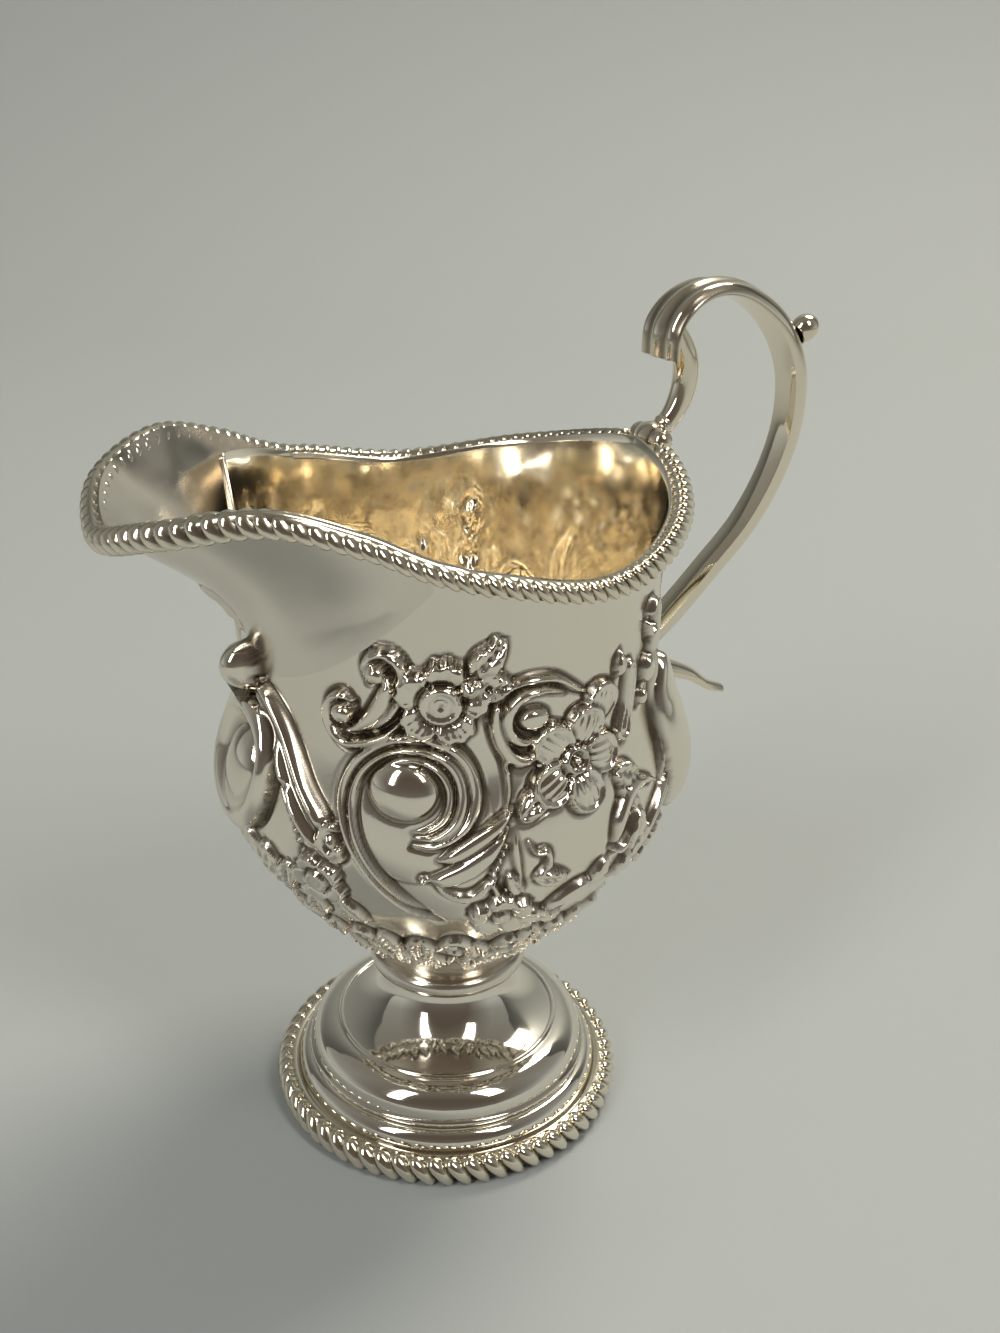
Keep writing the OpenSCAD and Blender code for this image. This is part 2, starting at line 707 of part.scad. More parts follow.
// Depth of the socket's middle behind its face, then radius and set-back of its side lobes
socket_depth_share = 0.7;
socket_side_share = 0.75;
socket_back_share = 0.15;
module rim_socket() {
    last = len(hook_line) - 1;
    along = unit(through_slope(hook_line, last));
    face = hook_foot + along * solder_gap;
    middle = face + along * socket_r * socket_depth_share;
    side_r = socket_r * socket_side_share;
    color(silver)
        difference() {
            union() {
                translate([middle[0], 0, middle[1]])
                    sphere(r = socket_r, $fn = round_fn);
                for (side = [-1, 1])
                    translate([
                        middle[0] - socket_r * socket_back_share,
                        side * (socket_w / 2 - side_r),
                        middle[1],
                    ])
                        sphere(r = side_r, $fn = round_fn);
            }
            translate([face[0], 0, face[1]])
                rotate([0, atan2(-along[0], -along[1]), 0])
                    cylinder(r = socket_w, h = socket_w, $fn = round_fn);
            bowl_solid(-solder_gap, mouth_back_z + neck_edge_rise + solder_gap);
        }
}

// Place of the bud along the handle's line, and radius and height of its neck
bud_place = 5.5;
bud_neck_share = 0.45;
bud_neck_h_share = 0.27;
module thumb_bud() {
    on_line = through(handle_line, bud_place);
    out = left_of(through_slope(handle_line, bud_place));
    root = on_line + out * (back_t * smooth_at(handle_thick_shares, bud_place) + solder_gap);
    neck = bud_r * bud_neck_share;
    neck_h = bud_r * bud_neck_h_share;
    color(silver)
        translate([root[0], 0, root[1]])
            rotate([0, 90 - atan2(out[1], out[0]), 0])
                rotate_extrude($fn = round_fn)
                    polygon(concat(
                        [[0, 0], [bud_r * cos(60), 0], [neck, neck_h]],
                        [for (a = [-60:10:90])
                            [bud_r * cos(a), neck_h + bud_r * sin(60) + bud_r * sin(a)]]
                    ));
}

module body_pad() {
    color(silver)
        difference() {
            translate([0, 0, pad_z])
                rotate([0, 90, 0])
                    cylinder(r = pad_r, h = pad_x, $fn = round_fn);
            bowl_solid(-solder_gap, neck_z);
        }
}

// Tail: a tapering leaf that flicks out below the handle
tail_root_share = 0.82;
tail_root_z = pad_z - pad_r * tail_root_share;
tail_line_shares = [[0, 0], [0.25, 0.09], [0.55, 0.4], [0.82, 0.84], [1, 1]];
tail_thick_shares = [0.5, 0.54, 0.46, 0.34, 0.26];
tail_width_shares = [1, 0.98, 0.85, 0.62, 0.7];
tail_line = [
    for (p = tail_line_shares)
        [pad_x + solder_gap + tail_reach * p[0], tail_root_z - tail_drop * p[1]]
];

module handle_tail() {
    last = len(tail_line) - 1;
    rings = [
        for (i = [0:last * handle_steps])
            let (
                u = i / handle_steps,
                along = i == 0 ? [1, 0] : through_slope(tail_line, u)
            )
            crown(
                through(tail_line, u),
                along,
                tail_w * smooth_at(tail_width_shares, u),
                tail_w * smooth_at(tail_thick_shares, u),
                0
            )
    ];
    color(silver)
        skin(rings);
}

body();
lip();
rim_border();
collar();
foot();
foot_border();
rim_socket();
handle_hook();
handle_scroll();
thumb_bud();
body_pad();
handle_tail();
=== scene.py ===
import math

import bpy
import numpy as np
from mathutils import Matrix


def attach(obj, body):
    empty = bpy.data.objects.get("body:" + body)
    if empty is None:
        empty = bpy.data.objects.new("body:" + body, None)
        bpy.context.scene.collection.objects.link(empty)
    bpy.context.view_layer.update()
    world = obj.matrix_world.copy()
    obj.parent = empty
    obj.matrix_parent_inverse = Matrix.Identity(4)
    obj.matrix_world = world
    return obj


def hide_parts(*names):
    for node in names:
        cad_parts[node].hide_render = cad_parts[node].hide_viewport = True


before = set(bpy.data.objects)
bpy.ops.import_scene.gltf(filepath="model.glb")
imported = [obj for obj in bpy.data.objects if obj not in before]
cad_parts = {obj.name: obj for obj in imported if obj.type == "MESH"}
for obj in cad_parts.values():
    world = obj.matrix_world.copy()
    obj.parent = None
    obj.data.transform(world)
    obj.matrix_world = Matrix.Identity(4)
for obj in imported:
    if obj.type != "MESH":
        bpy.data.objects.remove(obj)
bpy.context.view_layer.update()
MM = 0.001

# Bowl and neck
# One shell of sterling silver, raised from a disc, chased from the outside over pitch and
# embossed from behind. The inside is gilt, and shows the ornament softly and in reverse.
# All places on it are an angle from the handle in degrees, and a height in mm.
base_r, base_z, base_drop = 11.7, 27.5, 2.0
belly_r, belly_z = 34.8, 64.0
neck_r, neck_z, neck_flare = 31.2, 86.0, 1.9
wall_t = 0.9
mouth_back_z, mouth_side_z, lip_crest_z, lip_reach = 109.5, 101.3, 112.8, 51.3
rim_wire_h, rim_wire_t, solder_gap = 3.5, 2.8, 0.06
lip_tip_slope = 42.0
ground_depth = 0.8


def mix(a, b, share):
    return a + (b - a) * share


def smooth_step(low, high, value):
    share = np.clip((value - low) / (high - low), 0, 1)
    return share * share * (3 - 2 * share)


def bell(distance, width):
    """A rounded bump that is 1 at no distance and has nearly gone at twice its width."""
    return np.exp(-((distance / width) ** 2))


def on_ring(rz, angle):
    """Points in the round from radius and height, at an angle in degrees from the handle."""
    turn = np.radians(angle)
    return np.stack([rz[..., 0] * np.cos(turn), rz[..., 0] * np.sin(turn), rz[..., 1] + 0 * turn], -1)


def bezier(points, count):
    s = np.linspace(0, 1, count)[:, None]
    a, b, c, d = np.array(points, float)
    return a * (1 - s) ** 3 + b * 3 * s * (1 - s) ** 2 + c * 3 * s * s * (1 - s) + d * s**3


def neck_radius(z):
    return neck_r + neck_flare * ((z - neck_z) / (mouth_back_z - neck_z)) ** 2


def through(points, u):
    """Smooth curve through the points of a list, at u from 0 to the last index."""
    v = np.array(points, float)
    u = np.asarray(u, float)
    i = np.clip(np.floor(u).astype(int), 0, len(v) - 2)
    s = u - i
    if v.ndim > 1:
        s = s[..., None]
    a, b, c, d = v[np.maximum(i - 1, 0)], v[i], v[i + 1], v[np.minimum(i + 2, len(v) - 1)]
    return (
        b + (c - a) * (s / 2)
        + (a * 2 - b * 5 + c * 4 - d) * (s * s / 2)
        + (b * 3 - a - c * 3 + d) * (s**3 / 2)
    )


bowl_line = bezier(
    [[base_r, base_z], [mix(base_r, belly_r, 0.12), mix(base_z, belly_z, 0.17)],
     [belly_r, mix(base_z, belly_z, 0.57)], [belly_r, belly_z]], 120,
)
waist_line = bezier(
    [[belly_r, belly_z], [belly_r, mix(belly_z, neck_z, 0.36)],
     [neck_r, mix(belly_z, neck_z, 0.45)], [neck_r, neck_z]], 60,
)
neck_line_top = 118
neck_zs = np.linspace(neck_z, neck_line_top, 60)


def ease(share):
    return (1 - np.cos(math.pi * np.clip(share, 0, 1))) / 2


def ground(z):
    """Depth of the chased ground at a height: none at the seat, and none above the waist."""
    above_seat = ease((z - base_z) / (belly_z - base_z) / 0.3)
    return ground_depth * above_seat * ease((neck_z - z) / (neck_z - belly_z) / 0.45)


outline = np.concatenate(
    [bowl_line, waist_line[1:], np.stack([neck_radius(neck_zs), neck_zs], 1)[1:]]
)
outline_s = np.concatenate([[0], np.cumsum(np.linalg.norm(np.diff(outline, axis=0), axis=1))])


def outline_at(s):
    """Radius and height of the bowl's outline at a length s from its base, with its outward normal."""
    step = 0.4
    (r, r_on, r_back), (z, z_on, z_back) = (
        [np.interp(s + d, outline_s, line) for d in (0, step, -step)] for line in outline.T
    )
    dr, dz = r_on - r_back, z_on - z_back
    size = np.hypot(dr, dz)
    return r, z, dz / size, -dr / size


def s_at(z):
    return np.interp(z, outline[:, 1], outline_s)


# The chased pattern is drawn on one half, from the lip at 180 degrees to the handle at 360,
# and the other half is its mirror image. Heights are in mm over the sunk ground.
relief_step, relief_top_z = 0.17, 100.0
relief_cols = 1 + int(math.pi * belly_r / relief_step)
relief_rows = int(s_at(relief_top_z) / relief_step)
grid_angle = np.linspace(180, 360, relief_cols)
grid_s = np.arange(relief_rows) * relief_step
grid_r = outline_at(grid_s)[0]
relief = np.zeros((relief_rows, relief_cols))
hollows = np.zeros((relief_rows, relief_cols))


def window(angle, z, reach):
    """Rows and columns of the pattern within reach of a place, and mm offsets from that place."""
    s = s_at(z)
    r = np.interp(s, grid_s, grid_r)
    rows = np.where(abs(grid_s - s) < reach)[0]
    cols = np.where(abs(np.radians(grid_angle - angle)) * r < reach * 1.25)[0]
    part = np.s_[rows[0]:rows[-1] + 1, cols[0]:cols[-1] + 1]
    x = np.radians(grid_angle[None, part[1]] - angle) * grid_r[part[0], None]
    y = (grid_s[part[0]] - s)[:, None] + np.zeros_like(x)
    return part, x, y


def turned_window(angle, z, turn, reach):
    """The same, with the offsets along and across a direction, in degrees from level."""
    part, x, y = window(angle, z, reach)
    c, sn = math.cos(math.radians(turn)), math.sin(math.radians(turn))
    return part, x * c + y * sn, y * c - x * sn


def raise_form(part, edge, height, trench=0.3, soft=0.32):
    """Lays a form over the pattern. edge is the distance out of its outline, negative inside."""
    inside = smooth_step(0, soft, -edge)
    cut = trench * bell(np.maximum(edge, 0), 0.42)
    under = relief[part] - cut
    relief[part] = under + (height - under) * inside
    hollows[part] = np.maximum(hollows[part] * (1 - inside), bell(edge, 0.3))


def stroke(places, widths, height, ridges=1, trench=0.3, lift=0.3, tips=True):
    """A scroll or ribbon along places, with its full width at each place, and its ridges."""
    route = np.array(places, float)
    fine = np.linspace(0, len(route) - 1, 30 * (len(route) - 1) + 1)
    angle, z = through(route, fine).T
    s = s_at(z)
    width = through(list(widths), fine) / 2
    rows = np.where((grid_s > s.min() - 4) & (grid_s < s.max() + 4))[0]
    margin = np.degrees(4 / np.interp(s, grid_s, grid_r).min())
    cols = np.where((grid_angle > angle.min() - margin) & (grid_angle < angle.max() + margin))[0]
    part = np.s_[rows[0]:rows[-1] + 1, cols[0]:cols[-1] + 1]
    r = grid_r[part[0]][:, None]
    best = np.full((rows.size, cols.size), 1e9)
    place = np.zeros_like(best)
    side = np.zeros_like(best)
    for k in range(len(fine) - 1):
        ax = np.radians(grid_angle[part[1]] - angle[k])[None] * r
        ay = (grid_s[part[0]] - s[k])[:, None]
        tx = math.radians(angle[k + 1] - angle[k]) * np.interp(s[k], grid_s, grid_r)
        ty = s[k + 1] - s[k]
        long = max(tx * tx + ty * ty, 1e-9)
        share = np.clip((ax * tx + ay * ty) / long, 0, 1)
        d = (ax - share * tx) ** 2 + (ay - share * ty) ** 2
        near = d < best
        best[near] = d[near]
        place[near] = (k + share)[near]
        side[near] = np.sign(ay * tx - ax * ty)[near]
    half = np.maximum(np.interp(place, np.arange(len(fine)), width), 0.05)
    d = np.sqrt(best)
    q = np.clip(side * d / half, -1, 1)
    if ridges == 1:
        body = np.sqrt(np.maximum(1 - q * q, 0))
    else:
        body = (1 - q**8) * (0.62 + 0.38 * np.cos(q * math.pi * ridges) * (-1) ** (ridges + 1))
    fade = np.minimum(1, 0.35 + half / max(widths) * 1.6) if tips else 1
    raise_form(part, d - half, lift + height * body * fade, trench)


def dome(angle, z, w, h, height, turn=0, lift=0.3, flat=0.5, trench=0.3):
    """An oval boss."""
    part, x, y = turned_window(angle, z, turn, max(w, h) / 2 + 2)
    rho = np.hypot(x / (w / 2), y / (h / 2))
    raise_form(part, (rho - 1) * min(w, h) / 2, lift + height * np.maximum(1 - rho**2, 0) ** flat, trench)


def cartouche(angle, z, w, h, height, lift=0.6):
    """A plump oval with a rounded rim, a field sunk inside it and a boss low in the field."""
    part, x, y = window(angle, z, max(w, h) / 2 + 2)
    rho = np.hypot(x / (w / 2), y / (h / 2))
    inner = np.hypot(x / (w * 0.28), (y + h * 0.05) / (h * 0.29))
    field = lift + height * np.maximum(1 - rho**2, 0) ** 0.34 - height * 0.8 * smooth_step(0.84, 0.5, rho)
    raise_form(part, (rho - 1) * min(w, h) / 2, field + height * 0.38 * np.maximum(1 - inner**2, 0) ** 0.6, 0.5)


def leaf(angle, z, turn, length, width, height, veins=5, lift=0.4):
    """A pointed leaf from its root, with a mid rib, slanting veins and a rolled edge."""
    part, u, v = turned_window(angle, z, turn, length + 2)
    share = np.clip(u / length, 0, 1)
    half = width / 2 * np.sin(math.pi * np.minimum(share**0.75, 1)) ** 0.8 + 0.02
    ends = np.maximum(-u, u - length)
    edge = np.maximum(abs(v) - half, ends)
    q = np.clip(abs(v) / np.maximum(half, 0.3), 0, 1)
    vein = np.cos((share * length - abs(v) * 0.9) * 2 * math.pi * veins / length)
    body = 0.55 + 0.45 * np.sin(q * math.pi * 0.75) - 0.55 * bell(v, 0.2) + 0.2 * vein * (q < 0.85)
    raise_form(part, edge, lift + height * body * (0.55 + 0.45 * np.sin(math.pi * share)))


def flower(angle, z, radius, petals, height, turn=0, cup=0.42):
    """An open flower: frilled petals round a beaded ring and a dimpled eye."""
    part, x, y = window(angle, z, radius + 2)
    rho, phi = np.hypot(x, y), np.arctan2(y, x) - math.radians(turn)
    wave = abs(np.cos(phi * petals / 2))
    reach = radius * (0.68 + 0.32 * wave**0.5) + radius * 0.035 * np.cos(phi * petals * 4)
    q = rho / reach
    bowl = np.sin(np.clip((q - cup * 0.8) / (1 - cup * 0.8), 0, 1) * math.pi * 0.8)
    split = bell(wave * rho, 0.42) * (rho > radius * cup)
    flute = np.cos(phi * petals * 8) * np.clip(q * 2 - 0.7, 0, 1) * smooth_step(0.86, 0.78, q)
    rim = bell(q - 0.86, 0.09)
    body = 0.2 + 0.66 * bowl - 0.9 * split + 0.13 * flute + 0.26 * rim
    raise_form(part, rho - reach, 0.6 + height * body)
    ring = radius * cup
    eye = bell(rho - ring * 0.78, ring * 0.26) * (1 + 0.12 * np.cos(phi * 20))
    eye = eye + 0.75 * bell(rho - ring * 0.26, ring * 0.2)
    raise_form(part, rho - ring, 0.6 + height * (0.45 + 0.75 * eye), trench=0.5)


def cupped_petal(angle, z, turn, length, width, height, ribs=3, lift=0.5):
    """A rounded petal, wider at its tip, with a raised rim round a ribbed hollow."""
    part, x, y = turned_window(angle, z, turn, max(length, width) / 2 + 2)
    u = x / (length / 2)
    v = y / (width / 2) * (1.12 - 0.2 * np.clip(u, -1, 1))
    rho = np.hypot(u, v)
    rim = bell(rho - 0.86, 0.1)
    heart = np.clip(1 - (rho / 0.74) ** 2, 0, 1) ** 0.7
    body = 0.2 + 0.7 * rim + 0.45 * heart + 0.17 * np.cos(v * ribs * 2 * math.pi) * heart
    raise_form(part, (rho - 1) * min(length, width) / 2, lift + height * body)


# front under the lip: a plump oval cartouche and a ball over it, in a double band, with flowers below
stroke([(181.0, 82.6), (186.5, 81.6), (191.6, 79.0), (196.8, 75.2), (202.2, 71.2), (208.4, 67.2), (214.6, 63.4)],
       [2.6, 4.4, 5.2, 5.6, 5.8, 6.0, 3.4], 1.5, ridges=2, trench=0.5)
cartouche(180, 70.6, 17.4, 21.4, 3.6)
dome(180, 85.3, 5.4, 8.4, 4.9, lift=0.4)
for share in np.linspace(0, 1, 7):
    dome(mix(199.0, 204.5, share), mix(71.0, 61.8, share), 1.1, 1.1, 0.5)
leaf(180, 60.5, 270, 13, 7, 0.9)
leaf(189, 59.5, 280, 11, 5, 1.0)
leaf(198, 58.0, 250, 8, 4, 0.9)
stroke([(216.5, 67.5), (213, 67.6), (211, 65.2), (213.5, 63.4), (216.2, 64.6)],
       [1.6, 1.8, 1.8, 1.6, 1.4], 1.0)
flower(208.5, 57.8, 4.7, 5, 0.9, turn=40)
leaf(212.5, 54.4, 300, 7, 3.6, 0.8)
leaf(203.0, 52.6, 262, 7, 4, 0.8)

# the great C scroll, in three ridges round its boss
dome(232.5, 71.0, 24, 21, 0.9, turn=-25, lift=0.05, flat=0.6, trench=0.0)
stroke([(239.6, 51.8), (231.3, 55.5), (224.7, 60.0), (220.0, 64.7), (216.9, 69.1), (215.8, 72.8), (217.4, 76.3),
        (221.7, 79.3), (227.3, 81.3), (233.5, 82.0), (238.9, 81.5), (243.7, 79.7), (247.0, 76.8), (248.0, 73.7),
        (246.5, 70.8), (242.8, 68.5), (238.1, 67.1), (233.4, 67.2)],
       [0.4, 1.1, 1.5, 1.7, 1.8, 1.8, 1.8, 1.8, 1.8, 1.9, 2.0, 2.2, 2.3, 2.3, 2.1, 1.7, 1.2, 0.5], 1.2, trench=0.5)
stroke([(236.6, 54.1), (229.9, 58.2), (224.4, 62.5), (220.7, 66.7), (218.9, 70.4), (218.7, 73.5), (220.7, 76.5),
        (225.5, 79.0), (231.7, 80.2), (237.7, 79.8), (241.9, 78.3), (244.3, 75.9), (244.8, 73.0), (243.0, 70.3),
        (238.9, 68.5), (234.0, 68.1)],
       [0.3, 1.0, 1.4, 1.5, 1.5, 1.5, 1.4, 1.3, 1.4, 1.7, 1.9, 2.0, 2.0, 1.9, 1.5, 0.6], 1.35, trench=0.35)
stroke([(223.6, 75.0), (225.2, 76.9), (229.3, 78.5), (234.8, 78.6), (239.0, 77.4), (241.7, 75.2), (241.9, 72.7),
        (240.0, 70.6), (236.4, 69.3), (233.4, 69.0)],
       [0.5, 1.0, 1.2, 1.3, 1.4, 1.5, 1.5, 1.4, 1.1, 0.4], 1.1, trench=0.3)
dome(230.9, 74.4, 10.0, 8.2, 2.3, turn=-8, lift=0.35, flat=0.55, trench=0.12)

# the shell volute above it: a broad ribbon between two balls, inside a rolled band
stroke([(217.6, 86.2), (214.6, 87.0), (211.6, 85.6), (210.8, 83.3), (212.2, 81.1), (216.0, 79.9), (221.0, 80.6),
        (226.1, 82.0), (230.0, 84.0)],
       [0.8, 1.5, 1.9, 2.0, 2.0, 2.0, 1.7, 1.2, 0.5], 1.25, trench=0.45)
stroke([(221.9, 89.6), (221.3, 91.8), (223.4, 93.6), (226.6, 94.0), (229.6, 92.9), (230.8, 90.8), (230.1, 88.2),
        (228.0, 85.8), (224.6, 83.6), (220.6, 82.0)],
       [0.9, 1.5, 1.8, 1.9, 1.9, 1.9, 1.8, 1.7, 1.4, 0.7], 1.3, trench=0.45)
stroke([(216.6, 82.2), (219.5, 82.9), (222.8, 84.6), (225.3, 86.8), (226.8, 88.9), (226.9, 90.6)],
       [1.2, 1.9, 2.5, 2.7, 2.4, 1.4], 1.5, lift=0.5, trench=0.35)
dome(215.4, 84.5, 3.5, 3.5, 1.5, lift=0.7, trench=0.5)
dome(224.3, 91.2, 3.1, 3.1, 1.4, lift=0.8, trench=0.5)

# first flower, its bud and leaves
leaf(246.6, 91.0, 48, 7.2, 4.4, 1.1)
stroke([(251.6, 95.4), (252.6, 96.6), (253.9, 96.0)], [0.9, 0.7, 0.4], 0.8)
leaf(247.6, 89.4, 2, 5.6, 4.8, 1.1)
flower(239.7, 87.4, 6.5, 5, 1.2, turn=10, cup=0.46)
dome(246.4, 89.6, 2.9, 2.9, 1.4, lift=0.7, trench=0.45)
dome(246.4, 89.6, 1.2, 1.2, 0.5, lift=1.9, trench=0.1)

# the smooth lobe to its right, with a swirl over an oval cup
stroke([(250.5, 84.6), (253.6, 81.6), (255.6, 77.8), (256.2, 74.0), (254.8, 70.6)],
       [0.5, 0.9, 1.1, 0.9, 0.4], 0.75)
stroke([(253.0, 86.4), (253.2, 82.8), (255.8, 79.6), (259.6, 77.9), (264.0, 78.2)],
       [1.4, 2.1, 2.3, 2.0, 1.0], 1.0)
stroke([(271.0, 87.2), (265.0, 88.2), (259.4, 87.7), (256.1, 85.4), (256.6, 82.4), (260.0, 80.7), (264.6, 81.2)],
       [0.7, 1.5, 1.9, 2.0, 1.9, 1.7, 0.9], 1.05)
dome(262.8, 84.0, 4.8, 3.6, 0.9, lift=0.4, trench=0.4)
stroke([(252.6, 88.0), (257.0, 89.4), (262.0, 90.0), (268.0, 89.6), (273.6, 87.6), (278.0, 86.2)],
       [0.6, 1.2, 1.5, 1.5, 1.3, 0.6], 0.95)

# second flower: five cupped petals round a ring, with its bud and leaves
cupped_petal(261.6, 71.6, 50, 5.4, 4.6, 1.0)
leaf(266.5, 73.2, 214, 5.4, 3.6, 0.9)
cupped_petal(282.6, 83.6, 70, 7.4, 6.6, 1.1, ribs=4)
leaf(289.4, 86.2, 84, 4.6, 2.0, 0.9)
leaf(286.8, 72.6, -22, 6.4, 4.0, 1.0)
leaf(288.8, 71.2, -64, 7.0, 3.4, 1.0)
for direction in (69, 141, 213, 357, 285):
    x, y = 4.5 * math.cos(math.radians(direction)), 4.5 * math.sin(math.radians(direction))
    cupped_petal(274.6 + math.degrees(x / 33.6), 76.5 + y, direction, 7.4, 7.2, 1.3)
dome(274.6, 76.5, 4.6, 4.6, 0.9, lift=0.9, flat=0.3, trench=0.5)
dome(274.6, 76.5, 3.2, 3.2, -0.9, lift=1.5, flat=0.8, trench=0.0)
dome(274.6, 76.5, 1.6, 1.6, 0.9, lift=1.0, trench=0.1)

# fluted bar and husk, and the bands and leaves beside the handle
stroke([(294.4, 87.2), (294.6, 84.6), (294.4, 81.6), (292.6, 77.6)],
       [2.4, 2.9, 3.0, 3.8], 1.0, ridges=3, tips=False)
stroke([(303.0, 93.6), (305.6, 95.2), (308.2, 93.6), (307.6, 90.6), (304.6, 90.0), (303.0, 92.0)],
       [1.2, 1.3, 1.3, 1.4, 1.3, 1.0], 1.1)
stroke([(306.6, 90.4), (306.6, 88.0), (305.2, 86.0)], [1.6, 2.2, 1.4], 1.2)
dome(304.6, 84.6, 3.2, 5.0, 1.2, lift=0.5)
dome(302.4, 80.6, 2.2, 3.2, 1.0, lift=0.5)
stroke([(312.6, 86.0), (312.8, 79.0), (312.0, 72.0), (309.4, 64.8)], [0.8, 1.5, 1.5, 0.5], 1.0)
stroke([(341, 91.8), (336.4, 87.8), (334.8, 80.2), (336.0, 72.0), (334, 65)],
       [0.8, 1.8, 2.2, 2.0, 0.8], 1.1)
leaf(343, 66, 96, 14, 7, 1.0)
leaf(352, 57, 92, 8, 5, 0.9)

# acanthus lobes, beads and the garland under them
stroke([(239.6, 65.0), (243.4, 65.8), (248.4, 67.6), (253.0, 69.6), (257.2, 71.8)], [1.0, 2.7, 3.1, 2.3, 0.5], 1.15)
stroke([(236.8, 61.8), (240.6, 61.9), (246.2, 63.5), (251.2, 66.0), (255.6, 69.0)], [1.3, 3.0, 3.5, 2.7, 0.5], 1.3)
dome(235.9, 61.6, 1.6, 1.6, 0.9, lift=0.5)
for share in np.linspace(0, 1, 5):
    dome(mix(255.0, 252.3, share), mix(66.2, 61.9, share), mix(0.9, 1.4, share), mix(0.9, 1.4, share), 0.6)
stroke([(238.4, 61.2), (241.0, 59.2), (244.6, 58.1), (248.2, 58.5), (251.0, 60.2), (253.0, 61.2)],
       [0.9, 1.5, 1.9, 1.9, 1.6, 0.9], 0.9, ridges=2)
stroke([(252.0, 60.8), (253.2, 58.8), (255.6, 57.4)], [1.0, 1.3, 0.7], 0.8)

# tendril, leaves and the spray low on the right
stroke([(260.4, 66.6), (262.4, 64.8), (265.0, 64.6), (265.6, 62.4), (263.4, 61.2)], [0.5, 1.1, 1.4, 1.3, 0.7], 0.95)
leaf(262.0, 60.4, -12, 6.4, 3.2, 0.9)
leaf(259.6, 57.4, 118, 5.4, 2.6, 0.8)
stroke([(257.4, 69.0), (257.6, 64.4), (259.4, 59.6)], [0.3, 1.5, 0.5], 0.35, trench=0.15)
stroke([(267.0, 52.2), (271.6, 54.4), (277.0, 55.9), (282.4, 56.2)], [0.6, 2.5, 2.7, 0.6], 1.1)
cupped_petal(260.4, 50.6, -25, 6.4, 4.4, 0.9)
flower(255.2, 53.6, 4.9, 5, 1.0, turn=20, cup=0.3)
leaf(260.4, 52.6, -16, 6.0, 3.2, 0.9)
leaf(266.6, 50.6, -8, 5.0, 2.8, 0.9)
stroke([(303.0, 67.6), (296.6, 69.2), (290.6, 68.4), (287.0, 65.4), (285.6, 61.8)],
       [1.2, 2.0, 2.4, 2.2, 0.8], 1.15)
stroke([(285.0, 60.8), (288.6, 59.8), (292.0, 61.2), (294.6, 64.4)], [0.6, 1.8, 1.8, 0.6], 0.95)
leaf(296.0, 65.0, 262, 9, 4, 0.9)
leaf(284.6, 59.4, 238, 6, 3.2, 0.9)
leaf(303.0, 60.5, 226, 11, 5, 1.0)
stroke([(330, 60.0), (322, 63.6), (313, 64.4), (305.5, 62.0), (300.0, 57.6), (296.0, 52.4)],
       [1.0, 2.6, 3.0, 2.8, 2.2, 0.8], 1.1, ridges=2)
flower(313.0, 54.0, 5.0, 5, 1.0, turn=60, cup=0.34)

# the long smooth lobe beside the handle, laid over the garland's end
dome(321.0, 70.4, 10.8, 28.0, 3.7, turn=2, lift=0.5, trench=0.5)

# rockwork of small shells, loops and leaves round the foot of the bowl, each a little different
hand = np.random.default_rng(7)
for i in range(11):
    angle = 184 + 17.2 * i + hand.uniform(-2.5, 2.5)
    z = 45.4 + hand.uniform(-1.8, 2.4)
    leaf(angle, z, 250 + hand.uniform(-25, 60), hand.uniform(6.4, 9.0), hand.uniform(3.6, 5.2), 1.0, veins=6)
    z, size = 43.8 + hand.uniform(-1.6, 1.6), hand.uniform(0.8, 1.25)
    loop = [(5, 0), (9, 2.4), (13.5, 1.6), (14.2, -1.2), (10.5, -2.2), (6.8, -1.2)]
    stroke([(angle + x * size, z + y * size) for x, y in loop], [0.6, 1.4, 1.7, 1.5, 1.2, 0.5], 1.0)
    dome(angle + 9.8 * size, z, 2.6 * size, 1.5 * size, 0.7, turn=hand.uniform(-30, 30))
for i in range(14):
    angle = 182 + 13.4 * i + hand.uniform(-2, 2)
    leaf(angle, 38.8 + hand.uniform(-0.8, 1.2), 272 + hand.uniform(-22, 22), 7.0, 3.6, 0.9)
    dome(angle + 6.5, 35.4 + hand.uniform(-1, 1), 1.6, 3.2, 0.7, turn=hand.uniform(-20, 20))


def blurred(field, size):
    """The field smoothed over size mm, as by a soft punch."""
    reach = max(1, int(3 * size / relief_step))
    kernel = np.exp(-0.5 * (np.arange(-reach, reach + 1) * relief_step / size) ** 2)
    kernel /= kernel.sum()
    for axis in (0, 1):
        padded = np.pad(field, [(reach, reach) if a == axis else (0, 0) for a in (0, 1)], mode="edge")
        field = sum(
            w * np.take(padded, np.arange(k, k + field.shape[axis]), axis=axis) for k, w in enumerate(kernel)
        )
    return field


relief = blurred(relief, 0.16)
relief_back = blurred(relief, 0.5)
cavity = np.clip((blurred(relief, 0.7) - relief) * 2.2, 0, 1)
cavity = np.clip(cavity + 0.55 * blurred(hollows, 0.18), 0, 1)
crowns = smooth_step(0.25, 0.8, relief)
sunk = ground(outline_at(grid_s)[1])[:, None]
relief_out = relief - sunk


def on_pattern(field, angle, s):
    """Value of a pattern field at an angle in degrees and a length up the outline."""
    folded = np.where(angle % 360 < 180, 360 - angle % 360, angle % 360)
    col = (folded - 180) / 180 * (relief_cols - 1)
    row = np.clip(s / relief_step, 0, relief_rows - 1.001)
    i, j = np.floor(row).astype(int), np.minimum(np.floor(col).astype(int), relief_cols - 2)
    a, b = row - i, col - j
    return (field[i, j] * (1 - b) + field[i, j + 1] * b) * (1 - a) + (
        field[i + 1, j] * (1 - b) + field[i + 1, j + 1] * b
    ) * a


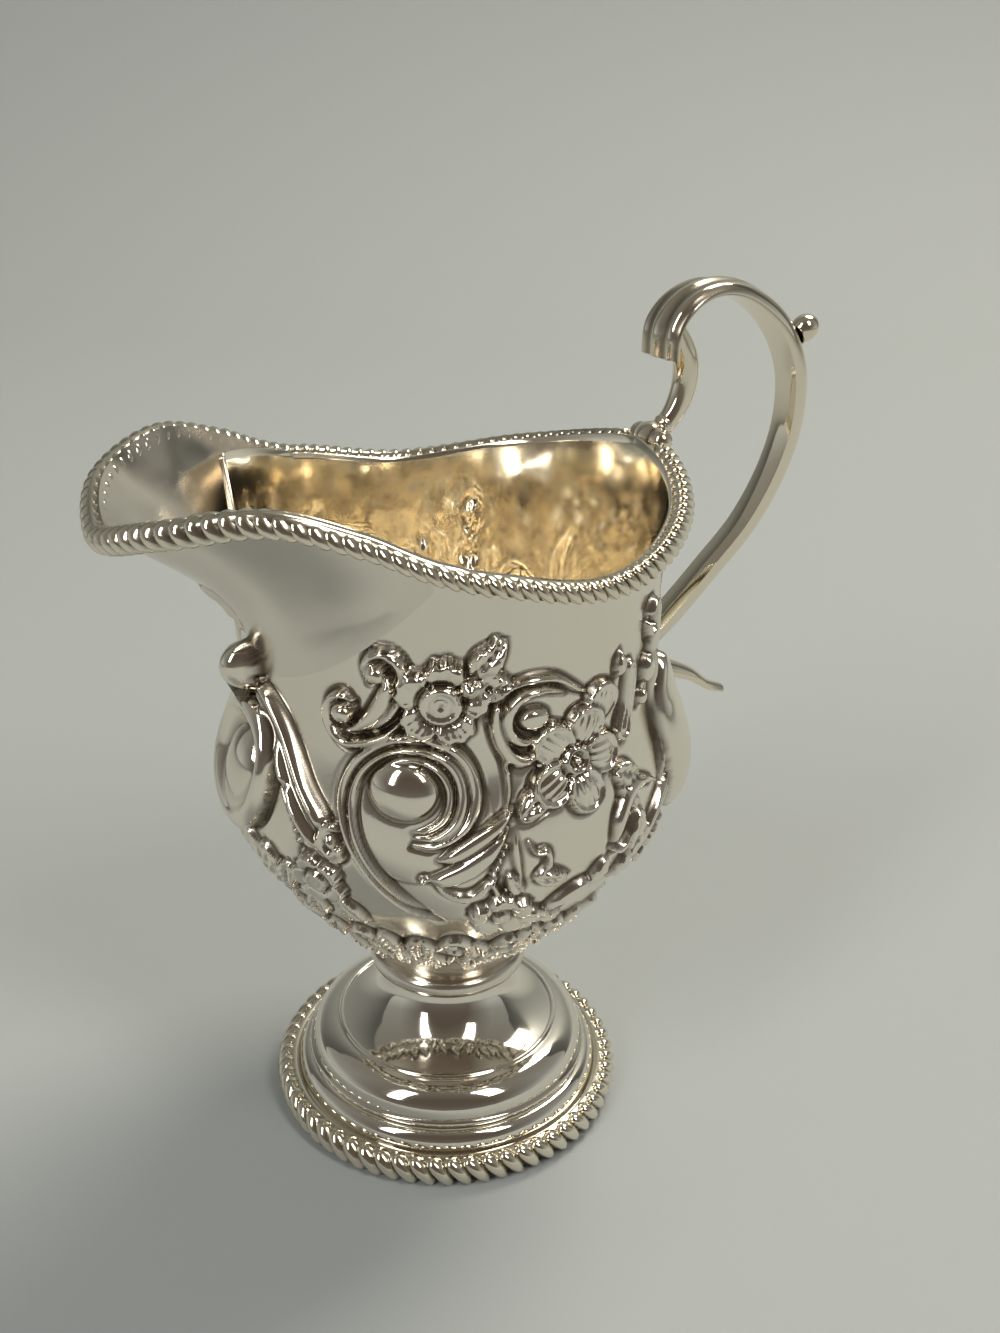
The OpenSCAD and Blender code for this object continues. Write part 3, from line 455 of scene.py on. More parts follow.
# line of the mouth, as for the border wire
mouth_angles = [0, 40, 78, 114, 122, 135, 150, 165, 180]
mouth_rise_shares = [0.7, 0.31, 0, 0.31, 0.46, 0.77, 1.03, 0.8, 0.47]
mouth_reach_shares = [0, 0, 0, 0, 0.045, 0.15, 0.46, 0.86, 1]


def mouth_place(angle):
    return np.interp(180 - abs(180 - np.asarray(angle, float) % 360), mouth_angles, range(9))


def mouth_z(angle):
    rise = through(mouth_rise_shares, mouth_place(angle))
    return mouth_side_z + (lip_crest_z - mouth_side_z) * rise


def mouth_out(angle):
    return np.maximum(0, through(mouth_reach_shares, mouth_place(angle)))


def neck_edge(angle):
    """Height of the neck's cut edge: behind the wire at the sides, then level, then the pouring notch."""
    forward = -neck_radius(mouth_back_z) * np.cos(np.radians(angle))
    side = mouth_z(angle) + rim_wire_h * 0.2
    front = np.interp(forward, [13.4, 28.6, 29.0, 29.9, 30.6], [106.0, 110.9, 110.3, 93.5, 92.0])
    return np.where(forward < 13.4, side, front)


# rows of the shell lie level up to even_top_z, and above it they fan out to the cut edge
body_cols, even_top_z, row_step, rise_steps = 800, 90.5, 0.3, 34
body_angle = np.arange(body_cols + 1) * 360 / body_cols
band_s = np.arange(0, s_at(even_top_z), row_step)


def shell_rows(inset, s_rows, rises, field, depth):
    """Rows of points up the bowl's wall: the same length up to the neck, then sharing the way to the edge."""
    top = s_at(neck_edge(body_angle))
    level = [np.full(body_cols + 1, s) for s in s_rows]
    s = np.array(level + [mix(s_at(even_top_z), top, share) for share in rises])
    angle = np.broadcast_to(body_angle, s.shape)
    r, z, out, up = outline_at(s)
    push = on_pattern(field, angle, s) * depth(z) - inset
    xyz = on_ring(np.stack([r + out * push, z + up * push], -1), angle)
    return xyz, on_pattern(cavity, angle, s), on_pattern(crowns, angle, s)


outer, outer_dark, outer_raised = shell_rows(
    0, band_s, np.linspace(0, 1, rise_steps), relief_out, lambda z: smooth_step(28.0, 31.0, z)
)
least_wall_share = 0.5
inner_field = np.minimum(relief_back * 1.3 - sunk, relief_out + wall_t * least_wall_share)
inner, inner_dark, _ = shell_rows(
    wall_t, band_s[::3], np.linspace(0, 1, rise_steps // 2), inner_field, lambda z: smooth_step(30.0, 34.0, z)
)
bottom_turns = np.radians(np.linspace(8, 82, 8))[:, None]


def bottom_rows(r, z, drop):
    """Rows of the rounded bottom, which sags by drop under its edge."""
    return on_ring(np.stack([r * np.sin(bottom_turns), z - drop * np.cos(bottom_turns)], -1), body_angle)


edge_mid = (outer[-1] + inner[-1]) / 2 + [0, 0, 0.22]
body_rows = np.concatenate(
    [
        bottom_rows(base_r, base_z, base_drop),
        outer,
        edge_mid[None],
        inner[::-1],
        bottom_rows(base_r - wall_t, base_z + wall_t, base_drop)[::-1],
    ]
)
low = len(bottom_turns)
body_dark = np.zeros(body_rows.shape[:2])
body_dark[low:low + len(outer)] = outer_dark
gilt_from = low + len(outer) + 1
body_dark[gilt_from:gilt_from + len(inner)] = inner_dark[::-1] * 0.4  # gilding tarnishes less
body_raised = np.zeros(body_rows.shape[:2])
body_raised[low:low + len(outer)] = outer_raised


def row_normals(rows):
    """Outward normals of a closed grid of rows, from its neighbours."""
    along = np.gradient(rows, axis=0)
    wide = np.concatenate([rows[:, -2:-1], rows, rows[:, 1:2]], axis=1)
    across = (wide[:, 2:] - wide[:, :-2]) / 2
    n = np.cross(across, along)
    return n / np.maximum(np.linalg.norm(n, axis=-1, keepdims=True), 1e-9)


def make_mesh(name, points, polygons, slots=None, dark=None, normals=None, raised=None):
    """A mesh object from points in mm. polygons is a list of arrays, each of faces with one corner count."""
    mesh = bpy.data.meshes.new(name)
    points = np.asarray(points, float).reshape(-1, 3)
    loops = np.concatenate([np.asarray(p).ravel() for p in polygons]).astype(np.int32)
    counts = np.concatenate([np.full(len(p), np.asarray(p).shape[1]) for p in polygons])
    mesh.vertices.add(len(points))
    mesh.vertices.foreach_set("co", (points * MM).ravel())
    mesh.loops.add(len(loops))
    mesh.loops.foreach_set("vertex_index", loops)
    mesh.polygons.add(len(counts))
    mesh.polygons.foreach_set("loop_start", np.concatenate([[0], np.cumsum(counts)[:-1]]).astype(np.int32))
    mesh.polygons.foreach_set("use_smooth", np.ones(len(counts), bool))
    if slots is not None:
        mesh.polygons.foreach_set("material_index", np.asarray(slots, np.int32))
    for label, values in (("patina", dark), ("raised", raised)):
        if values is not None:
            layer = mesh.attributes.new(label, "FLOAT", "POINT")
            layer.data.foreach_set("value", np.asarray(values, np.float32).ravel())
    mesh.update(calc_edges=True)
    mesh.validate()
    if normals is not None:
        mesh.normals_split_custom_set_from_vertices(np.asarray(normals).reshape(-1, 3))
    made = bpy.data.objects.new(name, mesh)
    bpy.context.scene.collection.objects.link(made)
    return made


def grid_faces(rows, cols, start=0):
    """Quads between rows of cols points each."""
    i, j = np.meshgrid(np.arange(rows - 1), np.arange(cols - 1), indexing="ij")
    a = start + i * cols + j
    return np.stack([a, a + 1, a + cols + 1, a + cols], -1).reshape(-1, 4)


def tube_faces(rows, cols):
    """Quads round closed rows, with the last column joined to the first."""
    i, j = np.meshgrid(np.arange(rows - 1), np.arange(cols), indexing="ij")
    k = (j + 1) % cols
    return np.stack([i * cols + j, i * cols + k, (i + 1) * cols + k, (i + 1) * cols + j], -1).reshape(-1, 4)


def capped_tube(rows, cols):
    """Closed rows with a flat face at each end."""
    return [tube_faces(rows, cols), np.arange(cols)[None, ::-1], ((rows - 1) * cols + np.arange(cols))[None]]


def linear(code):
    """An sRGB hex colour as linear red, green, blue and alpha."""
    parts = [int(code[i:i + 2], 16) / 255 for i in (1, 3, 5)]
    return [c / 12.92 if c <= 0.04045 else ((c + 0.055) / 1.055) ** 2.4 for c in parts] + [1.0]


def add_node(tree, kind, settings=None, links=None):
    """A node with its settings: properties by name, and sockets by name or number. links are (socket, from)."""
    node = tree.nodes.new(kind)
    for key, value in (settings or {}).items():
        if isinstance(key, str) and hasattr(node, key):
            setattr(node, key, value)
        else:
            node.inputs[key].default_value = value
    for socket, source in (links or {}).items():
        tree.links.new(node.inputs[socket], source)
    return node


def arithmetic(tree, operation, *values):
    """A sum in a node tree. Each value is a number or a socket."""
    node = add_node(tree, "ShaderNodeMath", {"operation": operation})
    for socket, value in zip(node.inputs, values):
        if isinstance(value, (int, float)):
            socket.default_value = value
        else:
            tree.links.new(socket, value)
    return node.outputs[0]


def span(tree, value, low, high, to_low, to_high):
    """A value in a node tree carried from one span to another, and held at its ends."""
    spans = {"From Min": low, "From Max": high, "To Min": to_low, "To Max": to_high}
    return add_node(tree, "ShaderNodeMapRange", spans, {"Value": value}).outputs["Result"]


def silver_finish(
    name, metal, shadow, roughness, scratch=0.05, patina=0.9, wear_scale=0.35, crown=1.0, waves=0.0
):
    """Hand-polished silver or gilding. Fine random scratches, drifting roughness, and tarnish left in the
    hollows where the polishing cloth doesn't reach, which the eye reads as drawn lines round each form.
    crown is the share of the roughness that is left on raised forms, which the cloth rubs brighter.
    waves is how far hammering has left the face uneven, which bends what it reflects into swirls."""
    material = bpy.data.materials.new(name)
    material.use_nodes = True
    tree = material.node_tree
    shader = tree.nodes["Principled BSDF"]
    shader.inputs["Metallic"].default_value = 1.0
    place = add_node(tree, "ShaderNodeTexCoord")
    mottle = add_node(
        tree, "ShaderNodeTexNoise", {"Scale": 1 / (6 * MM), "Detail": 4.0}, {"Vector": place.outputs["Object"]}
    )
    hollow = add_node(tree, "ShaderNodeAttribute", {"attribute_name": "patina"})
    amount = span(tree, hollow.outputs["Fac"], 0.12, 1.0, 0.0, patina)
    tone = add_node(
        tree, "ShaderNodeMix", {"data_type": "RGBA", 6: linear(metal), 7: linear(shadow)}, {0: amount}
    )
    tree.links.new(shader.inputs["Base Color"], tone.outputs[2])
    matt = span(tree, mottle.outputs["Fac"], 0.3, 0.7, roughness * 0.75, roughness * 1.3)
    rough = arithmetic(tree, "MULTIPLY_ADD", amount, 0.28, matt)
    raised = add_node(tree, "ShaderNodeAttribute", {"attribute_name": "raised"})
    rubbed = span(tree, raised.outputs["Fac"], 0.0, 1.0, 1.0, crown)
    tree.links.new(shader.inputs["Roughness"], arithmetic(tree, "MULTIPLY", rough, rubbed))
    turned = add_node(
        tree, "ShaderNodeMapping", {"Rotation": (0.5, 0.9, 0.3), "Scale": (1.0, 14.0, 14.0)},
        {"Vector": place.outputs["Object"]},
    )
    scratches = add_node(
        tree, "ShaderNodeTexNoise", {"Scale": 1 / (wear_scale * 14 * MM), "Detail": 3.0, "Roughness": 0.7},
        {"Vector": turned.outputs["Vector"]},
    )
    dents = add_node(
        tree, "ShaderNodeTexNoise", {"Scale": 1 / (12 * MM), "Detail": 0.0, "Distortion": 1.0},
        {"Vector": place.outputs["Object"]},
    )
    hammered = add_node(
        tree, "ShaderNodeBump", {"Strength": waves, "Distance": 0.9 * MM}, {"Height": dents.outputs["Fac"]}
    )
    bump = add_node(
        tree, "ShaderNodeBump", {"Strength": scratch, "Distance": 0.05 * MM},
        {"Height": scratches.outputs["Fac"], "Normal": hammered.outputs["Normal"]},
    )
    tree.links.new(shader.inputs["Normal"], bump.outputs["Normal"])
    return material


# chased silver: a satin ground with bright crowns and brown-black lines round every form
chased_silver = silver_finish("chased_sterling_silver", "#EFE8DA", "#46361F", 0.19, patina=0.88, crown=0.42)
# gilding: a warm, slightly wavy mirror, so the bowl glows inside
gilding = silver_finish("fire_gilding", "#FFF6E2", "#F6DCA6", 0.11, scratch=0.06, patina=0.45, waves=0.16)


def finish_piece(piece, slot, materials, *nodes):
    """Materials and frame links of a finished piece. slot is not used."""
    for material in materials:
        piece.data.materials.append(material)
    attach(piece, "root")
    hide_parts(*nodes)


all_normals = row_normals(body_rows)
quarter_cols = body_cols // 4
for part in range(4):
    cols = slice(part * quarter_cols, (part + 1) * quarter_cols + 1)
    points = body_rows[:, cols]
    rows, width = points.shape[:2]
    foot_point, gilt_point = rows * width, rows * width + 1
    ends = [[0, 0, base_z - base_drop], [0, 0, base_z + wall_t - base_drop]]
    quads = grid_faces(rows, width)
    gilt = np.repeat(np.arange(rows - 1) >= gilt_from, width - 1)
    first, last = np.arange(width - 1), (rows - 1) * width + np.arange(width - 1)
    bottom = np.stack([np.full(width - 1, foot_point), first + 1, first], -1)
    gilt_bottom = np.stack([np.full(width - 1, gilt_point), last, last + 1], -1)
    near_wall = np.concatenate([[foot_point], np.arange(rows) * width, [gilt_point]])
    far_wall = np.concatenate([[gilt_point], (np.arange(rows) * width + width - 1)[::-1], [foot_point]])
    quarter = make_mesh(
        f"bowl_{part + 1}",
        np.concatenate([points.reshape(-1, 3), ends]),
        [quads, bottom, gilt_bottom, near_wall[None], far_wall[None]],
        np.concatenate([gilt, np.zeros(width - 1), np.ones(width - 1), [0, 0]]),
        np.concatenate([body_dark[:, cols].ravel(), [0, 0]]),
        np.concatenate([all_normals[:, cols].reshape(-1, 3), [[0, 0, -1], [0, 0, 1]]]),
        np.concatenate([body_raised[:, cols].ravel(), [0, 0]]),
    )
    finish_piece(quarter, "chased_silver", [chased_silver, gilding], "body")

# Lip
# A sheet of silver cut and hammered to a broad duck-bill, lapped over the notch in the neck and
# soldered there. It isn't gilt, so its inside is plain grey silver with wipe marks along the pour.
lip_foot_z, lip_t, lip_feather_t = 85.0, 0.8, 0.3
lip_start = 122.0
lip_cols, lip_rows = 181, 49


def edge_slope(angle):
    """Slope of the sheet at the mouth in degrees: the neck's own at the sides, flatter at the tip."""
    rise = (mouth_z(angle) - neck_z) / (mouth_back_z - neck_z) ** 2
    upright = 90 - np.degrees(np.arctan(2 * neck_flare * rise))
    return mix(upright, lip_tip_slope, mouth_out(angle))


def wire_r(angle):
    beside = neck_radius(mouth_z(angle)) + solder_gap + rim_wire_t / 2
    return mix(beside, lip_reach, mouth_out(angle))


def wire_frame(angle):
    """Middle of the wire and its upward and outward directions, as radius and height."""
    slope = np.radians(edge_slope(angle))
    up = np.stack([np.cos(slope), np.sin(slope)], -1)
    outward = np.stack([up[..., 1], -up[..., 0]], -1)
    return np.stack([wire_r(angle), mouth_z(angle)], -1), up, outward


lip_angle = np.linspace(lip_start, 360 - lip_start, lip_cols)
lip_side = abs(180 - lip_angle) / (180 - lip_start)
low_z = mix(lip_foot_z, float(mouth_z(lip_start)) - rim_wire_h, lip_side**2)
lip_low = np.stack([neck_radius(low_z) + solder_gap, low_z], -1)
wire_mid, wire_up, wire_out = wire_frame(lip_angle)
lip_high = wire_mid - wire_out * (rim_wire_t / 2 + solder_gap + lip_t) + wire_up * rim_wire_h * 0.2
lip_pull = np.linalg.norm(lip_high - lip_low, axis=1, keepdims=True) * 0.42
control = [lip_low, lip_low + np.concatenate([0 * lip_pull, lip_pull], 1), lip_high - wire_up * lip_pull, lip_high]
share = np.linspace(0, 1, lip_rows)[:, None, None]
sheet = (
    control[0] * (1 - share) ** 3 + control[1] * 3 * share * (1 - share) ** 2
    + control[2] * 3 * share**2 * (1 - share) + control[3] * share**3
)
free = smooth_step(0, 0.3, share[..., 0]) * smooth_step(1.0, 0.82, lip_side)
flush = (lip_feather_t + solder_gap) * (1 - free)
sheet[..., 0] = np.maximum(sheet[..., 0], neck_radius(sheet[..., 1]) + solder_gap) - flush
slope = np.gradient(sheet, axis=0)
slope /= np.linalg.norm(slope, axis=-1, keepdims=True)
thick = mix(lip_feather_t, lip_t, np.clip(share / 0.2, 0, 1) * smooth_step(1.0, 0.82, lip_side)[None, :, None])
outside = sheet + np.stack([slope[..., 1], -slope[..., 0]], -1) * thick

# a short husk chain hangs under the lip, chased on its outer face
for z, size, height in ((96.6, 3.4, 0.9), (93.8, 2.6, 0.8), (91.4, 1.8, 0.7)):
    across = np.radians(lip_angle - 180)[None] * outside[..., 0]
    rho = np.hypot(across / (size * 0.42), (outside[..., 1] - z) / (size * 0.55))
    bump = height * np.maximum(1 - rho**2, 0) ** 0.6
    outside[..., 0] += bump * (0.85 + 0.15 * np.cos(across * 5))
lip_ring = on_ring(np.concatenate([outside, sheet[::-1]]), lip_angle).transpose(1, 0, 2)


def point_outwards(piece):
    """Turns a closed piece's faces outwards if its volume comes out negative."""
    mesh = piece.data
    mesh.calc_loop_triangles()
    corner = np.zeros(len(mesh.vertices) * 3)
    mesh.vertices.foreach_get("co", corner)
    triangle = np.zeros(len(mesh.loop_triangles) * 3, np.int32)
    mesh.loop_triangles.foreach_get("vertices", triangle)
    a, b, c = corner.reshape(-1, 3)[triangle.reshape(-1, 3)].transpose(1, 0, 2)
    if np.einsum("ij,ij->", a, np.cross(b, c)) < 0:
        mesh.flip_normals()


def closed_piece(name, points, polygons=None, dark=None, sharp=None):
    """A closed mesh with its faces outwards. Rows of points are capped unless faces are given, and the
    shading is split at edges over sharp degrees, as at a cut end."""
    points = np.asarray(points, float)
    polygons = polygons or capped_tube(*points.shape[:2])
    made = make_mesh(name, points, polygons, dark=np.zeros(points.shape[:-1]) if dark is None else dark)
    point_outwards(made)
    if sharp:
        made.data.set_sharp_from_angle(angle=math.radians(sharp))
    return made


# polished silver: the near mirror of the plain foot, which shows the lamps and the bowl above it
polished_silver = silver_finish("polished_sterling_silver", "#EDE7DB", "#6B5638", 0.07)
lip_piece = closed_piece("lip_sheet", lip_ring, sharp=40)
# wiped silver: soft grey with fine marks, for the plain inside of the lip
wiped_silver = silver_finish("wiped_sterling_silver", "#E6DFD2", "#6B5638", 0.2, scratch=0.14, wear_scale=0.6)
finish_piece(lip_piece, "polished_silver", [wiped_silver], "lip")

# Gadroon borders
# Cast silver wire with oblique lobes, soldered round the mouth and round the foot. Each lobe is
# pointed at its lower end, and dark tarnish stays in the grooves between them.
rim_lobes, foot_lobes = 112, 60
rim_break = 8.0
foot_r, foot_wire_h, foot_wire_t, foot_lobe_t = 29.5, 5.0, 3.8, 1.9


def wire_core(name, centre, up, outward, height, depth, closed):
    """A plain D-shaped wire under the lobes: dark where it shows between them, bright along its top."""
    turn = np.radians([-90, -78, -60, -35, -10, 20, 50, 75, 90])
    lift = np.sin(turn) * height / 2
    swell = np.cos(turn) ** 0.7 * depth
    ring = centre[:, None] + up[:, None] * lift[None, :, None] + outward[:, None] * swell[None, :, None]
    count, size = ring.shape[:2]
    dark = np.broadcast_to([1, 1, 1, 1, 1, 1, 0.7, 0.2, 0.1], (count, size))
    return closed_piece(name, ring, [tube_faces(count + 1, size) % (count * size)] if closed else None, dark)


def lobe_tree(material, pitch, height, depth, slant, taper):
    """Geometry nodes that set one lobe on each point, turned to its stored directions, and its sizes
    by socket."""
    tree = bpy.data.node_groups.new("gadroon_lobes", "GeometryNodeTree")
    tree.interface.new_socket("Geometry", in_out="INPUT", socket_type="NodeSocketGeometry")
    sizes = {
        "Lobe width": pitch * 0.56, "Lobe height": height / 2, "Lobe depth": depth, "Slant": slant, "Taper": taper,
    }
    by_socket = {}
    for label, value in sizes.items():
        socket = tree.interface.new_socket(label, in_out="INPUT", socket_type="NodeSocketFloat")
        socket.default_value = value
        by_socket[socket.identifier] = value
    tree.interface.new_socket("Geometry", in_out="OUTPUT", socket_type="NodeSocketGeometry")
    given = add_node(tree, "NodeGroupInput")
    ball = add_node(tree, "GeometryNodeMeshUVSphere", {"Segments": 12, "Rings": 9, "Radius": 1.0})
    at = add_node(tree, "GeometryNodeInputPosition")
    x, y, z = add_node(tree, "ShaderNodeSeparateXYZ", None, {0: at.outputs[0]}).outputs
    narrow = arithmetic(tree, "MULTIPLY_ADD", z, given.outputs["Taper"], 1.0)
    wide = arithmetic(tree, "MULTIPLY", given.outputs["Lobe width"], narrow)
    lean = arithmetic(tree, "MULTIPLY_ADD", z, given.outputs["Slant"], arithmetic(tree, "MULTIPLY", y, wide))
    out = arithmetic(tree, "MULTIPLY", x, given.outputs["Lobe depth"])
    rise = arithmetic(tree, "MULTIPLY", z, given.outputs["Lobe height"])
    shaped = add_node(tree, "ShaderNodeCombineXYZ", None, {0: out, 1: lean, 2: rise})
    dark = span(tree, arithmetic(tree, "ABSOLUTE", y), 0.62, 1.0, 0.0, 1.0)
    stored = add_node(
        tree, "GeometryNodeStoreNamedAttribute", {"data_type": "FLOAT", "domain": "POINT", "Name": "patina"},
        {"Geometry": ball.outputs["Mesh"], "Value": dark},
    )
    lobe = add_node(
        tree, "GeometryNodeSetPosition", None, {"Geometry": stored.outputs[0], "Position": shaped.outputs[0]}
    )
    up = add_node(tree, "GeometryNodeInputNamedAttribute", {"data_type": "FLOAT_VECTOR", "Name": "up"})
    outward = add_node(tree, "GeometryNodeInputNamedAttribute", {"data_type": "FLOAT_VECTOR", "Name": "outward"})
    turned = add_node(
        tree, "FunctionNodeAxesToRotation", {"primary_axis": "Z", "secondary_axis": "X"},
        {0: up.outputs[0], 1: outward.outputs[0]},
    )
    placed = add_node(
        tree, "GeometryNodeInstanceOnPoints", None,
        {"Points": given.outputs["Geometry"], "Instance": lobe.outputs[0], "Rotation": turned.outputs[0]},
    )
    real = add_node(tree, "GeometryNodeRealizeInstances", None, {0: placed.outputs[0]})
    smooth = add_node(tree, "GeometryNodeSetShadeSmooth", {"Shade Smooth": True}, {0: real.outputs[0]})
    dressed = add_node(tree, "GeometryNodeSetMaterial", {"Material": material}, {0: smooth.outputs[0]})
    add_node(tree, "NodeGroupOutput", None, {0: dressed.outputs[0]})
    return tree, by_socket


def lobed_wire(name, places, up, outward, tree, sizes, node):
    """Points along a wire dressed with lobes by a node tree, made a plain mesh."""
    mesh = bpy.data.meshes.new(name + "_points")
    mesh.from_pydata([tuple(p * MM) for p in places], [], [])
    for label, values in (("up", up), ("outward", outward)):
        layer = mesh.attributes.new(label, "FLOAT_VECTOR", "POINT")
        layer.data.foreach_set("vector", np.asarray(values, np.float32).ravel())
    source = bpy.data.objects.new(name, mesh)
    bpy.context.scene.collection.objects.link(source)
    lobes = source.modifiers.new("lobes", "NODES")
    lobes.node_group = tree
    for identifier, value in sizes.items():
        lobes[identifier] = value
    seen = source.evaluated_get(bpy.context.evaluated_depsgraph_get())
    result = bpy.data.meshes.new_from_object(seen)
    source.modifiers.clear()
    source.data = result
    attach(source, "root")
    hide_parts(node)
    return source


# border silver: bright lobes against dark grooves, so the wire sparkles like a cord
border_silver = silver_finish("gadroon_cast_silver", "#EDE5D2", "#33281A", 0.11, scratch=0.06, patina=0.95)
fine_angle = np.linspace(rim_break, 360 - rim_break, 1441)
fine_line = on_ring(wire_frame(fine_angle)[0], fine_angle)
fine_length = np.concatenate([[0], np.cumsum(np.linalg.norm(np.diff(fine_line, axis=0), axis=1))])
core_angle = np.interp(np.linspace(0, fine_length[-1], 421), fine_length, fine_angle)
core_mid, core_up, core_out = wire_frame(core_angle)
rim_core = wire_core(
    "mouth_wire",
    on_ring(core_mid - core_out * rim_wire_t / 2, core_angle),
    on_ring(core_up, core_angle),
    on_ring(core_out, core_angle),
    rim_wire_h * 0.82, rim_wire_t * 0.7, False,
)
finish_piece(rim_core, "border_silver", [border_silver], "rim_border")
rim_pitch = fine_length[-1] / rim_lobes
lobe_angle = np.interp((np.arange(rim_lobes) + 0.5) * rim_pitch, fine_length, fine_angle)
lobe_mid, lobe_up, lobe_out = wire_frame(lobe_angle)
rim_tree, rim_sizes = lobe_tree(
    border_silver, rim_pitch * MM, rim_wire_h * MM, rim_wire_t * 0.66 * MM, -rim_pitch * 0.6 * MM, 0.22
)
lobed_wire(
    "mouth_gadroons",
    on_ring(lobe_mid - lobe_out * rim_wire_t * 0.15, lobe_angle),
    on_ring(lobe_up, lobe_angle), on_ring(lobe_out, lobe_angle), rim_tree, rim_sizes, "rim_border",
)
core_sides = 240
ring_angle = np.arange(core_sides) * 360 / core_sides
ring_up = np.broadcast_to([0.0, 1.0], (core_sides, 2))
ring_out = np.broadcast_to([1.0, 0.0], (core_sides, 2))
ring_mid = np.broadcast_to([foot_r - foot_wire_t, foot_wire_h / 2 + solder_gap], (core_sides, 2))
foot_core = wire_core(
    "foot_wire", on_ring(ring_mid, ring_angle), on_ring(ring_up, ring_angle), on_ring(ring_out, ring_angle),
    foot_wire_h * 0.86, foot_wire_t * 0.74, True,
)
finish_piece(foot_core, "border_silver", [border_silver], "foot_border")
foot_angle = np.arange(foot_lobes) * 360 / foot_lobes
foot_pitch = 2 * math.pi * (foot_r - 1.6) / foot_lobes
foot_at = np.broadcast_to([foot_r - foot_lobe_t, foot_wire_h / 2 + solder_gap], (foot_lobes, 2))
foot_tree, foot_sizes = lobe_tree(
    border_silver, foot_pitch * MM, foot_wire_h * MM, foot_lobe_t * MM, -foot_pitch * 0.55 * MM, 0.25
)
lobed_wire(
    "foot_gadroons",
    on_ring(foot_at, foot_angle),
    on_ring(ring_up[:foot_lobes], foot_angle), on_ring(ring_out[:foot_lobes], foot_angle),
    foot_tree, foot_sizes, "foot_border",
)

# Collar and foot
# The collar is a heavy drawn ring. The foot is spun from sheet over a chuck, hollow below, with a
# trumpet stem, a fine crease, a domed shoulder and two steps down to the flange it stands on.
collar_r, foot_top_z = 13.0, 24.0
stem_r, crease_r, crease_z = 8.5, 18.2, 13.3
shoulder_r, shoulder_z, step_w, flange_z, foot_t, flange_t = 23.1, 8.8, 1.1, 4.4, 1.1, 1.65
flange_r = foot_r - foot_wire_t - solder_gap
step_drop = (shoulder_z - flange_z) / 3


def turned_piece(name, profile, sides=256, sharp=50):
    """A closed shape turned from an outline of radius and height, which starts and ends on the axis."""
    profile = np.array(profile, float)
    turn = np.arange(sides) * 2 * math.pi / sides
    ring = np.stack(
        [profile[1:-1, 0, None] * np.cos(turn), profile[1:-1, 0, None] * np.sin(turn),
         profile[1:-1, 1, None] + 0 * turn], -1,
    )
    count = len(profile) - 2
    top, bottom = count * sides, count * sides + 1
    j = np.arange(sides)
    caps = [
        np.stack([np.full(sides, top), j, (j + 1) % sides], -1),
        np.stack([np.full(sides, bottom), (count - 1) * sides + (j + 1) % sides, (count - 1) * sides + j], -1),
    ]
    points = np.concatenate([ring.reshape(-1, 3), [[0, 0, profile[0, 1]], [0, 0, profile[-1, 1]]]])
    return closed_piece(name, points, [tube_faces(count, sides)[:, ::-1], *caps], sharp=sharp)


def inset_line(line, inset):
    """The line moved sideways, to the inside of the sheet."""
    slope = np.gradient(line, axis=0)
    slope /= np.linalg.norm(slope, axis=1, keepdims=True)
    return line + np.stack([slope[:, 1], -slope[:, 0]], 1) * inset


stem_line = bezier(
    [[stem_r, foot_top_z], [stem_r, mix(foot_top_z, crease_z, 0.55)],
     [mix(stem_r, crease_r, 0.45), mix(crease_z, foot_top_z, 0.12)], [crease_r, crease_z]], 40,
)
dome_line = bezier(
    [[crease_r, crease_z], [mix(crease_r, shoulder_r, 0.55), crease_z],
     [shoulder_r, mix(shoulder_z, crease_z, 0.6)], [shoulder_r, shoulder_z]], 28,
)
step_r = shoulder_r + step_w
step_line = bezier(
    [[shoulder_r + step_w / 2, shoulder_z - step_drop], [mix(step_r, flange_r, 0.4), shoulder_z - step_drop],
     [mix(step_r, flange_r, 0.9), mix(flange_z, shoulder_z, 0.4)], [flange_r, flange_z]], 16,
)
bead_turn = np.radians(np.linspace(80, -80, 9))
crease_bead = np.stack([crease_r + 0.35 * np.sin(bead_turn[::-1]), crease_z + 0.05 + 0.3 * np.cos(bead_turn)], 1)
step_bead = np.stack(
    [shoulder_r + 0.1 + 0.55 * np.cos(bead_turn), shoulder_z - step_drop / 2 + 0.62 * np.sin(bead_turn)], 1
)
outer_foot = np.concatenate([stem_line[:-2], crease_bead, dome_line[2:], step_bead, step_line])
under = np.concatenate([inset_line(line, foot_t) for line in (stem_line, dome_line[1:], step_line)])[::-1]
under[:, 0] = np.minimum(under[:, 0], flange_r - flange_t)
foot_outline = np.concatenate(
    [[[0, foot_top_z]], outer_foot, [[flange_r, 0.35], [flange_r - 0.1, 0.1], [flange_r - 0.35, 0]],
     [[flange_r - flange_t, 0]], under[1:], [[0, foot_top_z - foot_t]]]
)
foot = turned_piece("pedestal", foot_outline)
finish_piece(foot, "polished_silver", [polished_silver], "foot")

collar_h = base_z - foot_top_z
round_r = collar_h / 2
edge_turn = np.radians(np.linspace(-90, 90, 19))
cup_turn = np.radians(np.linspace(60, 4, 8))
cup = np.stack(
    [(base_r + solder_gap) * np.sin(cup_turn), base_z - solder_gap - base_drop * np.cos(cup_turn)], 1
)
collar_outline = np.concatenate(
    [
        [[0, foot_top_z + solder_gap]],
        np.stack([collar_r - round_r + round_r * np.cos(edge_turn) ** 0.8,
                  foot_top_z + solder_gap + round_r + (round_r - 0.05) * np.sin(edge_turn)], 1),
        [[base_r + solder_gap + 0.05, base_z + solder_gap - 0.35]],
        cup,
        [[0, base_z - solder_gap - base_drop]],
    ]
)
collar = turned_piece("collar_ring", collar_outline)
finish_piece(collar, "polished_silver", [wiped_silver], "collar")

